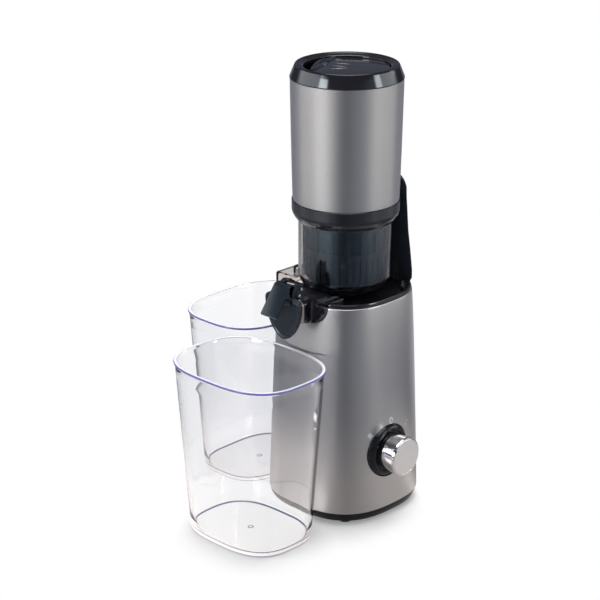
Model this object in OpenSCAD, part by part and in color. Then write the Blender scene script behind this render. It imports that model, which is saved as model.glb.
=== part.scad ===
// Cold press juicer: a motor base with a rear column, a clear juicing bowl with a strainer and
// an auger, a wide feed hopper with a swing flap, and one cup each for juice and pulp.
// Millimetres. The origin is on the drive axis at table level, +Z up, the juice spout towards
// -Y, the control knob on +X, the rear column on +Y and the pulp outlet on -X.

/* [Base] */
// Half width of the base at table level
base_foot_half = 67.4; // [64:0.2:70]
// Half width of the base at the deck
base_top_half = 58.8; // [57:0.2:60]
// Roundness of the base outline, 2 is a circle
base_power = 2.65; // [2.2:0.05:3.5]
// Height of the deck rim above the table
deck_z = 219; // [219]
// Lower edge of the metal-look sleeve
sleeve_z = 12; // [10:0.5:14]
// Wall of the moulded shells
wall = 2.4; // [2:0.1:3]

/* [Bowl] */
// Outer radius of the juicing bowl
bowl_r = 45; // [45]
// Wall of the bowl
bowl_wall = 2.2; // [1.8:0.1:2.4]
// Width of the juice spout
spout_w = 30; // [26:1:32]
// Distance from the drive axis to the spout mouth
spout_reach = 80; // [78:1:81]
// Width of the pulp outlet
pulp_w = 36; // [30:1:38]
// Distance from the drive axis to the end of the pulp outlet
pulp_reach = 76; // [74:1:80]

/* [Hopper] */
// Radius of the feed mouth
mouth_r = 40.5; // [40.5]
// Radius of the hopper shell at its foot
hopper_foot_r = 50.5; // [49.5:0.1:51]
// Radius of the hopper shell under the bevel ring
hopper_top_r = 53; // [51:0.1:54]
// Radius of the locking collar
collar_r = 51.4; // [50:0.1:52]

/* [Knob] */
// Radius of the knob's face
knob_r = 18.8; // [16:0.2:20]
// Radius of the bezel round the knob
bezel_r = 25.9; // [24:0.1:27]
// Height of the knob axis
knob_z = 70; // [68:0.5:74]
// Sideways place of the knob axis
knob_y = -6; // [-8:0.5:0]

/* [Cups] */
// Half length of a cup at the rim
cup_long = 70.5; // [66:0.5:71]
// Half width of a cup at the rim
cup_short = 55; // [50:0.5:55]
// Height of a cup
cup_h = 172; // [150:1:175]
// Size of a cup's floor against its rim
cup_taper = 0.83; // [0.78:0.01:0.86]
// Wall of a cup
cup_wall = 2; // [1.6:0.1:2.5]

/* [Drive] */
// Gear module
gear_m = 1; // [1]
// Teeth of the motor pinion
teeth_motor = 12; // [12]
// Teeth of the first wheel
teeth_first = 44; // [44]
// Teeth of the second pinion
teeth_second = 14; // [14]
// Teeth of the output wheel
teeth_output = 42; // [42]

/* [Auger] */
// Outer radius of the auger's flights
auger_r = 38; // [36:0.1:38]
// Turns of the main flight
auger_turns = 3; // [2:0.25:3.5]

/* [Hidden] */

$fn = 96;
eps = 0.01;
// Clearance round a part that is set in by hand, and radial play of pins and screws in their holes
fit = 0.3;
play = 0.02;
outline_steps = 72;
// Exponent that makes the base's flanks slightly convex
flank_curve = 0.78;
// Heights of the base's parts
cover_z = 2;
rim_z = 214.5;
dish_z = 214.6;
deck_under_z = 211.5;
skirt_z = 206;
// Cradles that the spout and the pulp outlet rest in
cradle_half = 30;
cradle_z = 202;
cradle_corner = 17;
trough_wall = 2;
spout_trough = 65;
pulp_trough = 62;
trough_low = 202.05;
trough_corner = 8;
// Distances from the drive axis between which the notches are cut, and where the troughs begin
notch_y = [-80, -40];
trough_root = 21;
// Step of the covers inside the sleeve
nest = 0.25;
// Column behind the bowl
column_face_y = 50;
column_recess_y = 52.6;
column_recess_half = 24;
column_seat_half = 45;
column_arch_half = 34;
column_shoulder_z = 306;
column_top_z = 327.5;
// Half width of the column's plan outline at each height
column_levels = [[57.4, deck_z], [59.7, 226], [59.7, 234], [56.8, 273], [55.5, 305], [55.2, 330]];
// Feet, and the posts in the sleeve that the base's screws hold
foot_place = 41;
foot_r = 8;
foot_top = 3.5;
post_r = 5.5;
post_h = 26;
rib_t = 2.4;
rib_l = 16;
screw_r = 1.93;
// Hole and body of the cord gland
gland_z = 30;
gland_r = 6.5;
// Bowl levels
bowl_floor_z = 220.5;
bowl_floor_t = 2.5;
bowl_rim_z = 301.5;
bowl_bend_r = 22;
spout_low = 203.5;
spout_high = 225.5;
spout_corner = 5;
spout_t = 2;
pulp_low = 203.5;
pulp_high = 221.5;
pulp_root_high = 234;
pulp_root_reach = 52;
// Cap hinge
cap_axis = [-70.7, 237.8];
cap_pin_r = 1.5;
cap_half = 10;
cap_plate_y = -spout_reach - 1.7;
cap_plate_t = 3.2;
// Widest level of the cap's plate, its half width, and its rise and drop from there
cap_plate_z = 225;
cap_plate_half = 23.4;
cap_plate_rise = 8.5;
cap_plate_drop = 36;
// Strainer basket, which follows the bend of the bowl
basket_in = 4.2;
basket_t = 1.6;
basket_floor_z = 226;
basket_top_z = 289.5;
mesh_t = 0.45;
window_count = 16;
window_w = 10;
window_z = 265;
slot_count = 40;
slot_w = 1.2;
slot_z = [232, 259];
// Ways out of the bowl's floor for juice and pulp, as [near corner, size]
juice_port = [[-11, -38], [22, 11]];
pulp_port = [[-36, -12], [11, 24]];
// Hopper levels
collar_low = 289.5;
collar_high = 309;
ring_low = 425.3;
mouth_z = 438.4;
tube_t = 2;
// Feed tube: wide below the lip so that the flap swings free, narrow at the auger
tube_wide_r = 46.4;
tube_wide_z = [332, 425];
tube_throat_r = 40;
tube_throat_z = 318;
tube_lip_z = 432.8;
tube_top_z = 436.2;
// Flap hinge: a chord of the mouth
flap_turn = 23.6;
flap_offset = 24;
flap_z = 433.4;
flap_r = 39.4;
flap_t = 2.2;
// Gear train
centre_d = gear_m * (teeth_motor + teeth_first) / 2;
layshaft_at = [-centre_d / sqrt(2), centre_d / sqrt(2)];
layshaft_angle = 135;
gearbox_at = layshaft_at / 2;
gearbox_r = 41;
gearbox_wall = 3;
gearbox_z = [153, 190];
stage_1_z = 159;
stage_1_w = 10;
stage_2_z = 173;
stage_2_w = 11;
gearbox_post = [[20, 0], [12, 30], [-27, 31]];
shaft_r = 6;
bearing_r = 9;
pin_r = 3;
motor_shaft_r = 4;
motor_r = 36;
motor_z = [66, 150];

// ---- outlines and lofts ----

// Superellipse through (half_x, 0) and (0, half_y)
function squircle(half_x, half_y, power, steps) = [
    for (i = [0 : steps - 1])
        let (a = 360 * i / steps, c = cos(a), s = sin(a))
            [half_x * sign(c) * pow(abs(c), 2 / power), half_y * sign(s) * pow(abs(s), 2 / power)]
];

// Half width of the base at height z
function base_half(z) =
    base_top_half + (base_foot_half - base_top_half) * pow((deck_z - z) / deck_z, flank_curve);

// One closed skin through outlines given as [half_x, half_y, z]
module loft(levels, power, steps = outline_steps) {
    points = [for (l = levels) for (p = squircle(l[0], l[1], power, steps)) [p[0], p[1], l[2]]];
    last = len(levels) - 1;
    sides = [
        for (k = [0 : last - 1]) for (i = [0 : steps - 1])
            let (j = (i + 1) % steps, low = k * steps, high = low + steps)
                each [[low + i, high + i, low + j], [low + j, high + i, high + j]]
    ];
    floor_face = [for (i = [0 : steps - 1]) i];
    roof_face = [for (i = [steps - 1 : -1 : 0]) last * steps + i];
    polyhedron(points, concat([floor_face], sides, [roof_face]), convexity = 4);
}

// Solid of the base's outline, grown by d, between two heights
module base_solid(low, high, d = 0, levels = 1) {
    loft([for (k = [0 : levels]) let (z = low + (high - low) * k / levels, h = base_half(z) + d) [h, h, z]],
        base_power);
}

// Flat rectangle with round corners, centred on the origin
module rounded(w, h, r) {
    square([w - 2 * r, h], center = true);
    square([w, h - 2 * r], center = true);
    for (x = [-1, 1], y = [-1, 1]) translate([x * (w / 2 - r), y * (h / 2 - r)]) circle(r);
}

// U shape with round lower corners, open at the top, in x and z
module u_shape(half, low, high, r) {
    translate([-half, low + r]) square([2 * half, high - low - r]);
    translate([-half + r, low]) square([2 * (half - r), r + eps]);
    for (x = [-1, 1]) translate([x * (half - r), low + r]) circle(r);
}

// Extrudes an x-z outline along y from y0 to y1
module along_y(y0, y1) {
    translate([0, y1, 0]) rotate([90, 0, 0]) linear_extrude(y1 - y0) children();
}

// Turns a solid drawn for the spout's side to the pulp outlet's side
module pulp_side() {
    rotate([0, 0, -90]) children();
}

module tube(r_out, r_in, low, high) {
    translate([0, 0, low]) difference() {
        cylinder(r = r_out, h = high - low);
        translate([0, 0, -1]) cylinder(r = r_in, h = high - low + 2);
    }
}

module at_feet() {
    for (x = [-1, 1], y = [-1, 1]) translate([x * foot_place, y * foot_place, 0]) children();
}

// ---- base ----

module housing() {
    color("#8b8a8c") difference() {
        union() {
            difference() {
                base_solid(sleeve_z, rim_z, 0, 4);
                base_solid(sleeve_z - 2, rim_z + 2, -wall, 4);
            }
            intersection() {
                union() {
                    at_feet() translate([0, 0, sleeve_z]) cylinder(r = post_r, h = post_h, $fn = 32);
                    at_ribs(rib_t) cube([rib_l, rib_t, post_h]);
                }
                base_solid(sleeve_z - 1, sleeve_z + post_h + 1, -wall / 2);
            }
        }
        notch = cradle_half + fit / 2;
        along_y(notch_y[0], notch_y[1]) u_shape(notch, cradle_z - fit / 2, deck_z + 1, cradle_corner);
        pulp_side() along_y(notch_y[0], notch_y[1])
            u_shape(notch, cradle_z - fit / 2, deck_z + 1, cradle_corner);
        translate([50, knob_y, knob_z]) rotate([0, 90, 0]) cylinder(r = bezel_r + fit / 2, h = 30);
        translate([0, 50, gland_z]) rotate([-90, 0, 0]) cylinder(r = gland_r + 0.1, h = 30);
        at_feet() translate([0, 0, sleeve_z - 1]) cylinder(r = screw_r + play, h = 24, $fn = 32);
    }
}

// Place of the ribs that tie the posts to the sleeve's corners
module at_ribs(w) {
    for (a = [45 : 90 : 315]) rotate([0, 0, a]) translate([foot_place * sqrt(2) + 1, -w / 2, sleeve_z])
        children();
}

// Black panel in the sleeve's notch and the trough that holds a spout
module cradle(half, front, lip, lip_length) {
    trough_half = half + fit + trough_wall;
    intersection() {
        difference() {
            base_solid(skirt_z - 6, rim_z + 0.6, 0.7);
            base_solid(skirt_z - 7, rim_z + 2, -wall - 1);
        }
        along_y(notch_y[0], notch_y[1]) u_shape(cradle_half, cradle_z, deck_z + 1, cradle_corner);
    }
    along_y(-front, -trough_root) u_shape(trough_half, trough_low, deck_z - 1.5, trough_corner);
    along_y(-front, lip_length - front) u_shape(trough_half, trough_low, deck_z + lip, trough_corner);
}

// Room for a spout in the deck and its trough
module spout_room(half, corner) {
    along_y(notch_y[0], -trough_root - trough_wall)
        u_shape(half + fit, spout_low - 0.2, deck_z + 20, corner + fit);
}

module top_cover() {
    hub_r = 15;
    hub_top = bowl_floor_z - 0.1;
    color("#15171b") difference() {
        union() {
            difference() {
                union() {
                    loft([for (l = [[0, dish_z], [0, 217.6], [-1.4, deck_z]])
                        let (h = base_half(l[1]) + l[0]) [h, h, l[1]]], base_power);
                    base_solid(deck_under_z, dish_z + 1.4, -wall - nest);
                }
                difference() {
                    loft([for (l = [[-7.5, dish_z], [-5.2, 216], [-3.2, deck_z + 0.5]])
                        let (h = base_top_half + l[0]) [h, h, l[1]]], base_power);
                    // seat of the column
                    difference() {
                        translate([-column_seat_half, column_face_y, dish_z - 1])
                            cube([2 * column_seat_half, 20, 8]);
                        column_recess();
                    }
                }
            }
            difference() {
                base_solid(skirt_z, deck_under_z + 1, -wall - nest);
                base_solid(skirt_z - 1, deck_under_z + 2, -2 * wall - nest);
            }
            cradle(spout_w / 2, spout_trough, 6.3, 18);
            pulp_side() cradle(pulp_w / 2, pulp_trough, -1, 12);
            translate([0, 0, skirt_z]) cylinder(r = hub_r, h = hub_top - skirt_z);
            for (p = gearbox_post) translate([p[0], p[1], gearbox_z[1] + 4])
                cylinder(r = 5, h = dish_z - gearbox_z[1] - 4.5, $fn = 32);
        }
        spout_room(spout_w / 2, spout_corner);
        pulp_side() spout_room(pulp_w / 2, 0);
        translate([0, 0, skirt_z - 8]) cylinder(r = 11, h = 30);
        translate([0, 0, bowl_floor_z - 1.3]) cylinder(r = 12.3, h = 5);
        for (p = gearbox_post) translate([p[0], p[1], gearbox_z[1] + 3])
            cylinder(r = screw_r + play, h = 12, $fn = 32);
    }
}

// Shallow hollow in the column's face that clears the bowl and the hopper
module column_recess() {
    depth = column_recess_y - column_face_y;
    r = (pow(column_recess_half, 2) + pow(depth, 2)) / (2 * depth);
    translate([0, column_recess_y - r, 200]) cylinder(r = r, h = 150);
}

// Column behind the bowl: a loft that goes on from the base's back, cut flat in front and arched at its top
module rear_column() {
    arch = column_top_z - column_shoulder_z;
    arch_power = 2.4;
    low_half = 60;
    right = concat(
        [[low_half, deck_z - 1], [low_half, 250]],
        [for (a = [0 : 7.5 : 82.5]) [column_arch_half * pow(cos(a), 2 / arch_power),
            column_shoulder_z + arch * pow(sin(a), 2 / arch_power)]]);
    left = [for (i = [len(right) - 1 : -1 : 0]) [-right[i][0], right[i][1]]];
    color("#15171b") difference() {
        intersection() {
            loft([for (l = column_levels) [l[0], l[0], l[1]]], base_power);
            along_y(column_face_y, 80) polygon(concat(right, [[0, column_top_z]], left));
        }
        column_recess();
    }
}

module bottom_cover() {
    grille_count = 9;
    grille_pitch = 6;
    grille_w = 2.5;
    grille_l = 44;
    slot_t = rib_t + 2 * fit;
    boss_top = sleeve_z - 0.05;
    color("#17181b") difference() {
        union() {
            difference() {
                loft([for (l = [[-6, cover_z], [-2.6, 4.2], [-1.2, 8], [-1, sleeve_z - 0.1]])
                    let (h = base_half(sleeve_z) + l[0]) [h, h, l[1]]], base_power);
                base_solid(cover_z + wall, sleeve_z + 1, -wall - 3.4);
            }
            // skirt inside the sleeve
            difference() {
                base_solid(8, sleeve_z + 5, -wall - fit);
                base_solid(7, sleeve_z + 6, -2 * wall - fit);
            }
            at_feet() translate([0, 0, cover_z + 1]) cylinder(r = 9.4, h = boss_top - cover_z - 1);
        }
        at_feet() {
            translate([0, 0, cover_z - 1]) cylinder(r = foot_r + 0.1, h = foot_top - cover_z + 1.02);
            translate([0, 0, cover_z]) cylinder(r = 4.1, h = 5);
            translate([0, 0, cover_z]) cylinder(r = 2.1, h = 20, $fn = 32);
        }
        translate([0, 0, boss_top - sleeve_z]) at_ribs(slot_t) cube([rib_l, slot_t, 12]);
        for (k = [0 : grille_count - 1]) translate([(k - (grille_count - 1) / 2) * grille_pitch, 0, 0])
            translate([-grille_w / 2, -grille_l / 2, cover_z - 1]) cube([grille_w, grille_l, 5]);
    }
}

module feet() {
    color("#202124") at_feet() rotate_extrude()
        polygon([[0, 0], [foot_r - 1.2, 0], [foot_r, 0.8], [foot_r, foot_top], [0, foot_top]]);
}

module base_screws() {
    color("#9a9a9a") at_feet() {
        translate([0, 0, foot_top + 0.1]) cylinder(r = 3.8, h = 2.4, $fn = 32);
        translate([0, 0, foot_top + 1]) cylinder(r = screw_r, h = 24, $fn = 32);
    }
}

module cord_gland() {
    back = base_half(gland_z);
    color("#1a1b1d") translate([0, 0, gland_z]) rotate([-90, 0, 0]) difference() {
        union() {
            translate([0, 0, back - 5]) cylinder(r = gland_r, h = 7);
            translate([0, 0, back - 8]) cylinder(r = 8, h = 5.2);
            translate([0, 0, back + 0.4]) cylinder(r = 8, h = 2);
        }
        translate([0, 0, back - 9]) cylinder(r = 3.4, h = 14);
    }
}

// ---- control knob and electrics ----

module knob_axis() {
    translate([0, knob_y, knob_z]) rotate([0, 90, 0]) children();
}

module knob_bezel() {
    color("#17181b") knob_axis() rotate_extrude() polygon([
        [3.3, 51.6], [bezel_r - 1.4, 51.6], [bezel_r - 1.4, 55], [bezel_r, 55], [bezel_r, 66.6],
        [bezel_r - 1.2, 68.2], [bezel_r - 3, 68.6], [bezel_r - 4.6, 67.8], [bezel_r - 5.6, 66],
        [3.3, 66]
    ]);
}

module knob() {
    // Turn of the pointer from +Y, towards the mark on the upper left
    pointer_angle = 146;
    low = 66.6;
    high = 87.5;
    color("#c9cacc") knob_axis() difference() {
        rotate_extrude() polygon([
            [0, low + 3], [14, low + 3], [15, low], [knob_r - 1.6, low], [knob_r - 1, low + 1],
            [knob_r, high - 2], [knob_r - 0.5, high - 0.5], [knob_r - 1.6, high], [0, high]
        ]);
        translate([0, 0, low]) cylinder(r = 3.02, h = 15);
        // pointer notch in the rim
        rotate([0, 0, pointer_angle]) translate([0, knob_r - 0.2, high - 1.6])
            cube([2.2, 3.2, 5], center = true);
    }
}

module switch_spindle() {
    color("#b0b0b4") knob_axis() intersection() {
        translate([0, 0, 46]) cylinder(r = 3, h = 35, $fn = 48);
        translate([-4, -4, 45]) cube([8, 6.2, 40]);
    }
}

module rotary_switch() {
    color("#d8d4c8") knob_axis() difference() {
        union() {
            translate([-13, -13, 38.5]) cube([26, 26, 11]);
            translate([0, 0, 49]) cylinder(r = 7, h = 2.6);
            for (x = [-8, 0, 8]) translate([x - 1.5, -2, 36]) cube([3, 0.8, 3]);
        }
        translate([0, 0, 45]) cylinder(r = 3.1, h = 10);
    }
}

module control_board() {
    board_x = -47;
    part_x = board_x + 1.5;
    color("#2e6b3c") {
        translate([board_x, -26, 88]) cube([1.6, 52, 44]);
        for (y = [-20, 20], z = [94, 126])
            let (reach = base_half(z) - wall - 1.8 + board_x)
                translate([board_x - reach, y, z]) rotate([0, 90, 0])
                    cylinder(r = 2.6, h = reach + 0.5, $fn = 24);
        for (y = [-14, -2]) translate([part_x, y, 104]) rotate([0, 90, 0]) cylinder(r = 5, h = 7, $fn = 32);
        translate([part_x, 8, 98]) cube([5, 12, 16]);
    }
}

module interlock_switch() {
    color("#33363b") translate([0, 38, deck_under_z]) {
        translate([-10, 0, -8.4]) cube([20, 6.5, 8.4]);
        for (x = [-7, 0, 7]) translate([x - 0.4, 2, -12]) cube([0.8, 2.5, 4]);
    }
}

module motor() {
    color("#a6a8ab") difference() {
        union() {
            rotate_extrude() polygon([
                [3, motor_z[0]], [motor_r - 3, motor_z[0]], [motor_r, motor_z[0] + 3],
                [motor_r, motor_z[1] - 4], [motor_r - 4, motor_z[1]], [3, motor_z[1]]
            ]);
            translate([0, 0, motor_z[0] - 5]) cylinder(r = 10, h = 6);
            translate([0, 0, motor_z[1] - 1]) cylinder(r = 12, h = gearbox_z[0] - motor_z[1] + 1);
        }
        translate([0, 0, motor_z[0] - 10]) cylinder(r = 4.06, h = 110);
        for (a = [0 : 45 : 315]) rotate([0, 0, a]) translate([20, -3, motor_z[0] - 1]) cube([11, 6, 5]);
    }
}

// ---- gear train ----

// Involute of a base circle, in degrees of unwinding
function involute(rb, t) = rb * [cos(t) + t * PI / 180 * sin(t), sin(t) - t * PI / 180 * cos(t)];

// Angle at which the involute reaches radius r
function unwind(rb, r) = sqrt(pow(max(r / rb, 1), 2) - 1) * 180 / PI;

function turned(p, a) = [p[0] * cos(a) - p[1] * sin(a), p[0] * sin(a) + p[1] * cos(a)];

// Outline of a spur gear with stub teeth and a little backlash
function gear_outline(teeth, m, pressure = 25, backlash = 0.08) =
    let (rp = m * teeth / 2, rb = rp * cos(pressure), tip = rp + 0.85 * m, root = rp - 1.1 * m,
        tp = unwind(rb, rp), at_pitch = tp - pressure,
        half_tooth = 90 / teeth - backlash * m / rp * 90 / PI + at_pitch,
        flank_steps = 4, start = max(rb, root))
    [
        for (k = [0 : teeth - 1]) let (a = 360 * k / teeth)
            each concat(
                [turned([root, 0], a - half_tooth - 40 / teeth / 4)],
                [for (i = [0 : flank_steps]) let (r = start + (tip - start) * i / flank_steps)
                    turned(involute(rb, unwind(rb, r)), a - half_tooth)],
                [for (i = [flank_steps : -1 : 0])
                    let (p = involute(rb, unwind(rb, start + (tip - start) * i / flank_steps)))
                        turned([p[0], -p[1]], a + half_tooth)],
                [turned([root, 0], a + half_tooth + 40 / teeth / 4)])
    ];

module gear(teeth, low, width, phase = 0) {
    translate([0, 0, low]) rotate([0, 0, phase]) linear_extrude(width)
        polygon(gear_outline(teeth, gear_m));
}

module motor_shaft() {
    color("#c4c6c9") translate([0, 0, 50]) cylinder(r = motor_shaft_r, h = stage_1_z + stage_1_w + 1 - 50);
}

module motor_pinion() {
    color("#c9b26a") difference() {
        gear(teeth_motor, stage_1_z - 0.5, stage_1_w + 1, layshaft_angle);
        translate([0, 0, stage_1_z - 2]) cylinder(r = motor_shaft_r + eps, h = stage_1_w + 5);
    }
}

module cooling_fan() {
    blades = 9;
    color("#d9dadb") difference() {
        union() {
            translate([0, 0, 51]) cylinder(r = 9, h = 8);
            translate([0, 0, 57.4]) cylinder(r = 31, h = 1.6);
            for (k = [0 : blades - 1]) rotate([0, 0, k * 360 / blades])
                translate([8, -0.8, 51]) cube([23, 1.6, 7]);
        }
        translate([0, 0, 50]) cylinder(r = motor_shaft_r + eps, h = 12);
    }
}

module compound_gear() {
    color("#e6e2d3") translate([layshaft_at[0], layshaft_at[1], 0]) difference() {
        union() {
            gear(teeth_first, stage_1_z, stage_1_w, layshaft_angle + 180 + 180 / teeth_first);
            gear(teeth_second, stage_1_z + stage_1_w - 0.5, stage_2_z + stage_2_w - stage_1_z - stage_1_w,
                layshaft_angle + 180);
        }
        translate([0, 0, stage_1_z - 1]) cylinder(r = pin_r + 0.05, h = 40);
    }
}

module output_gear() {
    color("#c9b26a") difference() {
        union() {
            gear(teeth_output, stage_2_z, stage_2_w, layshaft_angle + 180 / teeth_output);
            translate([0, 0, stage_2_z]) cylinder(r = 11, h = gearbox_z[1] - stage_2_z - 3.4);
        }
        translate([0, 0, stage_2_z - 1]) cylinder(r = shaft_r + eps, h = 40);
    }
}

module drive_shaft() {
    hex_z = 219.2;
    color("#c4c6c9") {
        translate([0, 0, stage_2_z]) cylinder(r = shaft_r, h = hex_z - stage_2_z);
        translate([0, 0, hex_z - 1]) cylinder(d = 10 / cos(30), h = 14, $fn = 6);
    }
}

module gearbox_housing() {
    color("#77797d") difference() {
        translate([gearbox_at[0], gearbox_at[1], gearbox_z[0]])
            cylinder(r = gearbox_r, h = gearbox_z[1] - gearbox_z[0]);
        translate([gearbox_at[0], gearbox_at[1], gearbox_z[0] + gearbox_wall])
            cylinder(r = gearbox_r - gearbox_wall, h = 60);
        translate([0, 0, gearbox_z[0] - 1]) cylinder(r = 4.6, h = 10);
        translate([layshaft_at[0], layshaft_at[1], gearbox_z[0] + 1]) cylinder(r = pin_r + eps, h = 10);
    }
}

module gearbox_cover() {
    color("#77797d") difference() {
        union() {
            translate([gearbox_at[0], gearbox_at[1], gearbox_z[1]]) cylinder(r = gearbox_r, h = 4);
            translate([0, 0, gearbox_z[1] - 3]) cylinder(r = 13, h = 18);
            translate([layshaft_at[0], layshaft_at[1], gearbox_z[1] - 3]) cylinder(r = 7, h = 5);
        }
        translate([0, 0, gearbox_z[1] - 4]) cylinder(r = bearing_r + eps, h = 30);
        translate([layshaft_at[0], layshaft_at[1], gearbox_z[1] - 4]) cylinder(r = pin_r + eps, h = 6);
        for (p = gearbox_post) translate([p[0], p[1], gearbox_z[1] - 1]) cylinder(r = 2.1, h = 8, $fn = 32);
    }
}

module gearbox_screws() {
    color("#9a9a9a") for (p = gearbox_post) translate([p[0], p[1], gearbox_z[1]]) {
        translate([0, 0, -2.2]) cylinder(r = 3.6, h = 2.15, $fn = 32);
        translate([0, 0, -1]) cylinder(r = screw_r, h = 15, $fn = 32);
    }
}

module layshaft_pin() {
    color("#c4c6c9") translate([layshaft_at[0], layshaft_at[1], gearbox_z[0] + 1])
        cylinder(r = pin_r, h = gearbox_z[1] - gearbox_z[0] + 0.9);
}

module output_bearing() {
    color("#b08d4a") tube(bearing_r, shaft_r + 0.04, gearbox_z[1] - 3, gearbox_z[1] + 15);
}

module drive_seal() {
    color("#2b2c2f") rotate_extrude() polygon([
        [10.95, skirt_z], [10.95, deck_z - 1.4], [9, deck_z - 1.4], [6.5, deck_z - 2.4],
        [6.5, deck_z - 3.8], [9, deck_z - 3], [9, skirt_z]
    ]);
}

// ---- juicing bowl ----

// Half section of the bowl, shrunk by d, from its floor up
module bowl_section(d, low, high) {
    r = bowl_r - d;
    bend = bowl_bend_r - d;
    difference() {
        union() {
            translate([0, low]) square([r - bend, high - low]);
            translate([0, low + bend]) square([r, high - low - bend]);
            translate([r - bend, low + bend]) circle(bend);
        }
        translate([-100, low - 10]) square([100, high]);
    }
}

module spout_body(grow) {
    w = spout_w + 2 * grow;
    translate([0, (spout_low + spout_high) / 2])
        rounded(w, spout_high - spout_low + 2 * grow, spout_corner + grow);
}

// Side view of the pulp outlet: a tall root at the bowl and a lower hood
module pulp_outline(d) {
    translate([24, pulp_low + d]) square([pulp_reach - 24 - d, pulp_high - pulp_low - 2 * d]);
    root_r = 4;
    root_w = pulp_root_reach - 30 - d;
    root_h = pulp_root_high - pulp_high + 8 - d;
    translate([30, pulp_high - 8]) square([root_w, root_h - root_r]);
    translate([30, pulp_high - 8]) square([root_w - root_r, root_h]);
    translate([pulp_root_reach - root_r - d, pulp_root_high - root_r - d]) circle(root_r);
}

module pulp_body(d) {
    pulp_side() rotate([90, 0, -90]) translate([0, 0, -pulp_w / 2 + d])
        linear_extrude(pulp_w - 2 * d) pulp_outline(d);
}

// Place of a way out in the bowl's floor
module port(p) {
    translate([p[0][0], p[0][1], bowl_floor_z - 6]) children();
}

module bowl() {
    bracket_half = 6.6;
    bracket_r = 3.6;
    t = bowl_wall;
    color([0.2, 0.22, 0.26, 0.55]) difference() {
        union() {
            rotate_extrude() bowl_section(0, bowl_floor_z, bowl_rim_z);
            along_y(-spout_reach, -24) spout_body(0);
            pulp_body(0);
            // hinge bracket on the spout
            rotate([90, 0, 90]) translate([0, 0, -bracket_half]) linear_extrude(2 * bracket_half) {
                translate([cap_axis[0] - bracket_r, spout_high - 1])
                    square([2 * bracket_r, cap_axis[1] - spout_high + 1]);
                translate(cap_axis) circle(bracket_r);
            }
        }
        rotate_extrude() bowl_section(t, bowl_floor_z + bowl_floor_t, bowl_rim_z + 1);
        along_y(-spout_reach - 1, -26) spout_body(-spout_t);
        port(juice_port) cube([juice_port[1][0], juice_port[1][1], 16]);
        pulp_body(spout_t);
        // pulp leaves through the floor of the bowl and falls from the hood
        port(pulp_port) cube([pulp_port[1][0], pulp_port[1][1], 16]);
        translate([spout_t - pulp_reach, spout_t - pulp_w / 2, pulp_low - 5])
            cube([10, pulp_w - 2 * spout_t, 12]);
        translate([0, 0, bowl_floor_z - 10]) cylinder(r = 12, h = 20);
        translate([-20, cap_axis[0], cap_axis[1]]) rotate([0, 90, 0])
            cylinder(r = cap_pin_r + play, h = 40, $fn = 48);
    }
}

module bowl_seal() {
    color("#3a3c40") rotate_extrude() polygon([
        [8.06, bowl_floor_z - 1], [11.95, bowl_floor_z - 1], [11.95, bowl_floor_z + bowl_floor_t],
        [14, bowl_floor_z + bowl_floor_t + 0.02], [14, bowl_floor_z + bowl_floor_t + 1.4],
        [8.06, bowl_floor_z + bowl_floor_t + 1.4]
    ]);
}

module strainer_frame() {
    wall_r = bowl_r - basket_in;
    color("#2a2d33") difference() {
        union() {
            rotate_extrude() bowl_section(basket_in, basket_floor_z, basket_top_z);
            tube(wall_r + 0.8, wall_r - 0.4, basket_top_z - 3, basket_top_z);
            tube(19.5, 17, bowl_floor_z + bowl_floor_t + 0.05, basket_floor_z + 1);
        }
        rotate_extrude() bowl_section(basket_in + basket_t, basket_floor_z + basket_t, basket_top_z + 1);
        translate([0, 0, basket_floor_z - 5]) cylinder(r = 17, h = 10);
        for (k = [0 : window_count - 1]) rotate([0, 0, (k + 0.5) * 360 / window_count])
            translate([30, -window_w / 2, window_z]) cube([20, window_w, 20]);
        for (k = [0 : slot_count - 1]) rotate([0, 0, k * 360 / slot_count])
            translate([34, -slot_w / 2, slot_z[0]]) cube([12, slot_w, slot_z[1] - slot_z[0]]);
        // way out for the pulp
        translate([-35, -11, basket_floor_z - 4]) cube([10, 22, 10]);
    }
}

module strainer_mesh() {
    mesh_r = bowl_r - basket_in - basket_t - 0.1;
    color("#9fa2a6") tube(mesh_r, mesh_r - mesh_t, basket_floor_z + 18.5, basket_top_z - 0.6);
}

// Silicone plug that throttles the pulp under the bowl's floor
module pulp_gate() {
    color("#46494e") translate([0, 0, pulp_low + spout_t + 0.02]) {
        translate([-50, -8, 0]) cube([12, 16, 3]);
        translate([-41, -8, 0]) cube([3, 16, 9]);
    }
}

module cap_pin() {
    color("#b8babd") translate([-cap_half - 1, cap_axis[0], cap_axis[1]]) rotate([0, 90, 0])
        cylinder(r = cap_pin_r, h = 2 * cap_half + 2, $fn = 48);
}

// ---- spout cap ----

module cap_profile(half) {
    rotate([90, 0, 90]) translate([0, 0, -half]) linear_extrude(2 * half) children();
}

// Outline of the cap's plate: wide shoulders above, a long drop below
function cap_outline() = [
    for (a = [0 : 6 : 354])
        let (c = cos(a), s = sin(a), power = s < 0 ? 1.8 : 2.8, h = s < 0 ? cap_plate_drop : cap_plate_rise)
            [cap_plate_half * sign(c) * pow(abs(c), 2 / power), h * sign(s) * pow(abs(s), 2 / power)]
];

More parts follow.
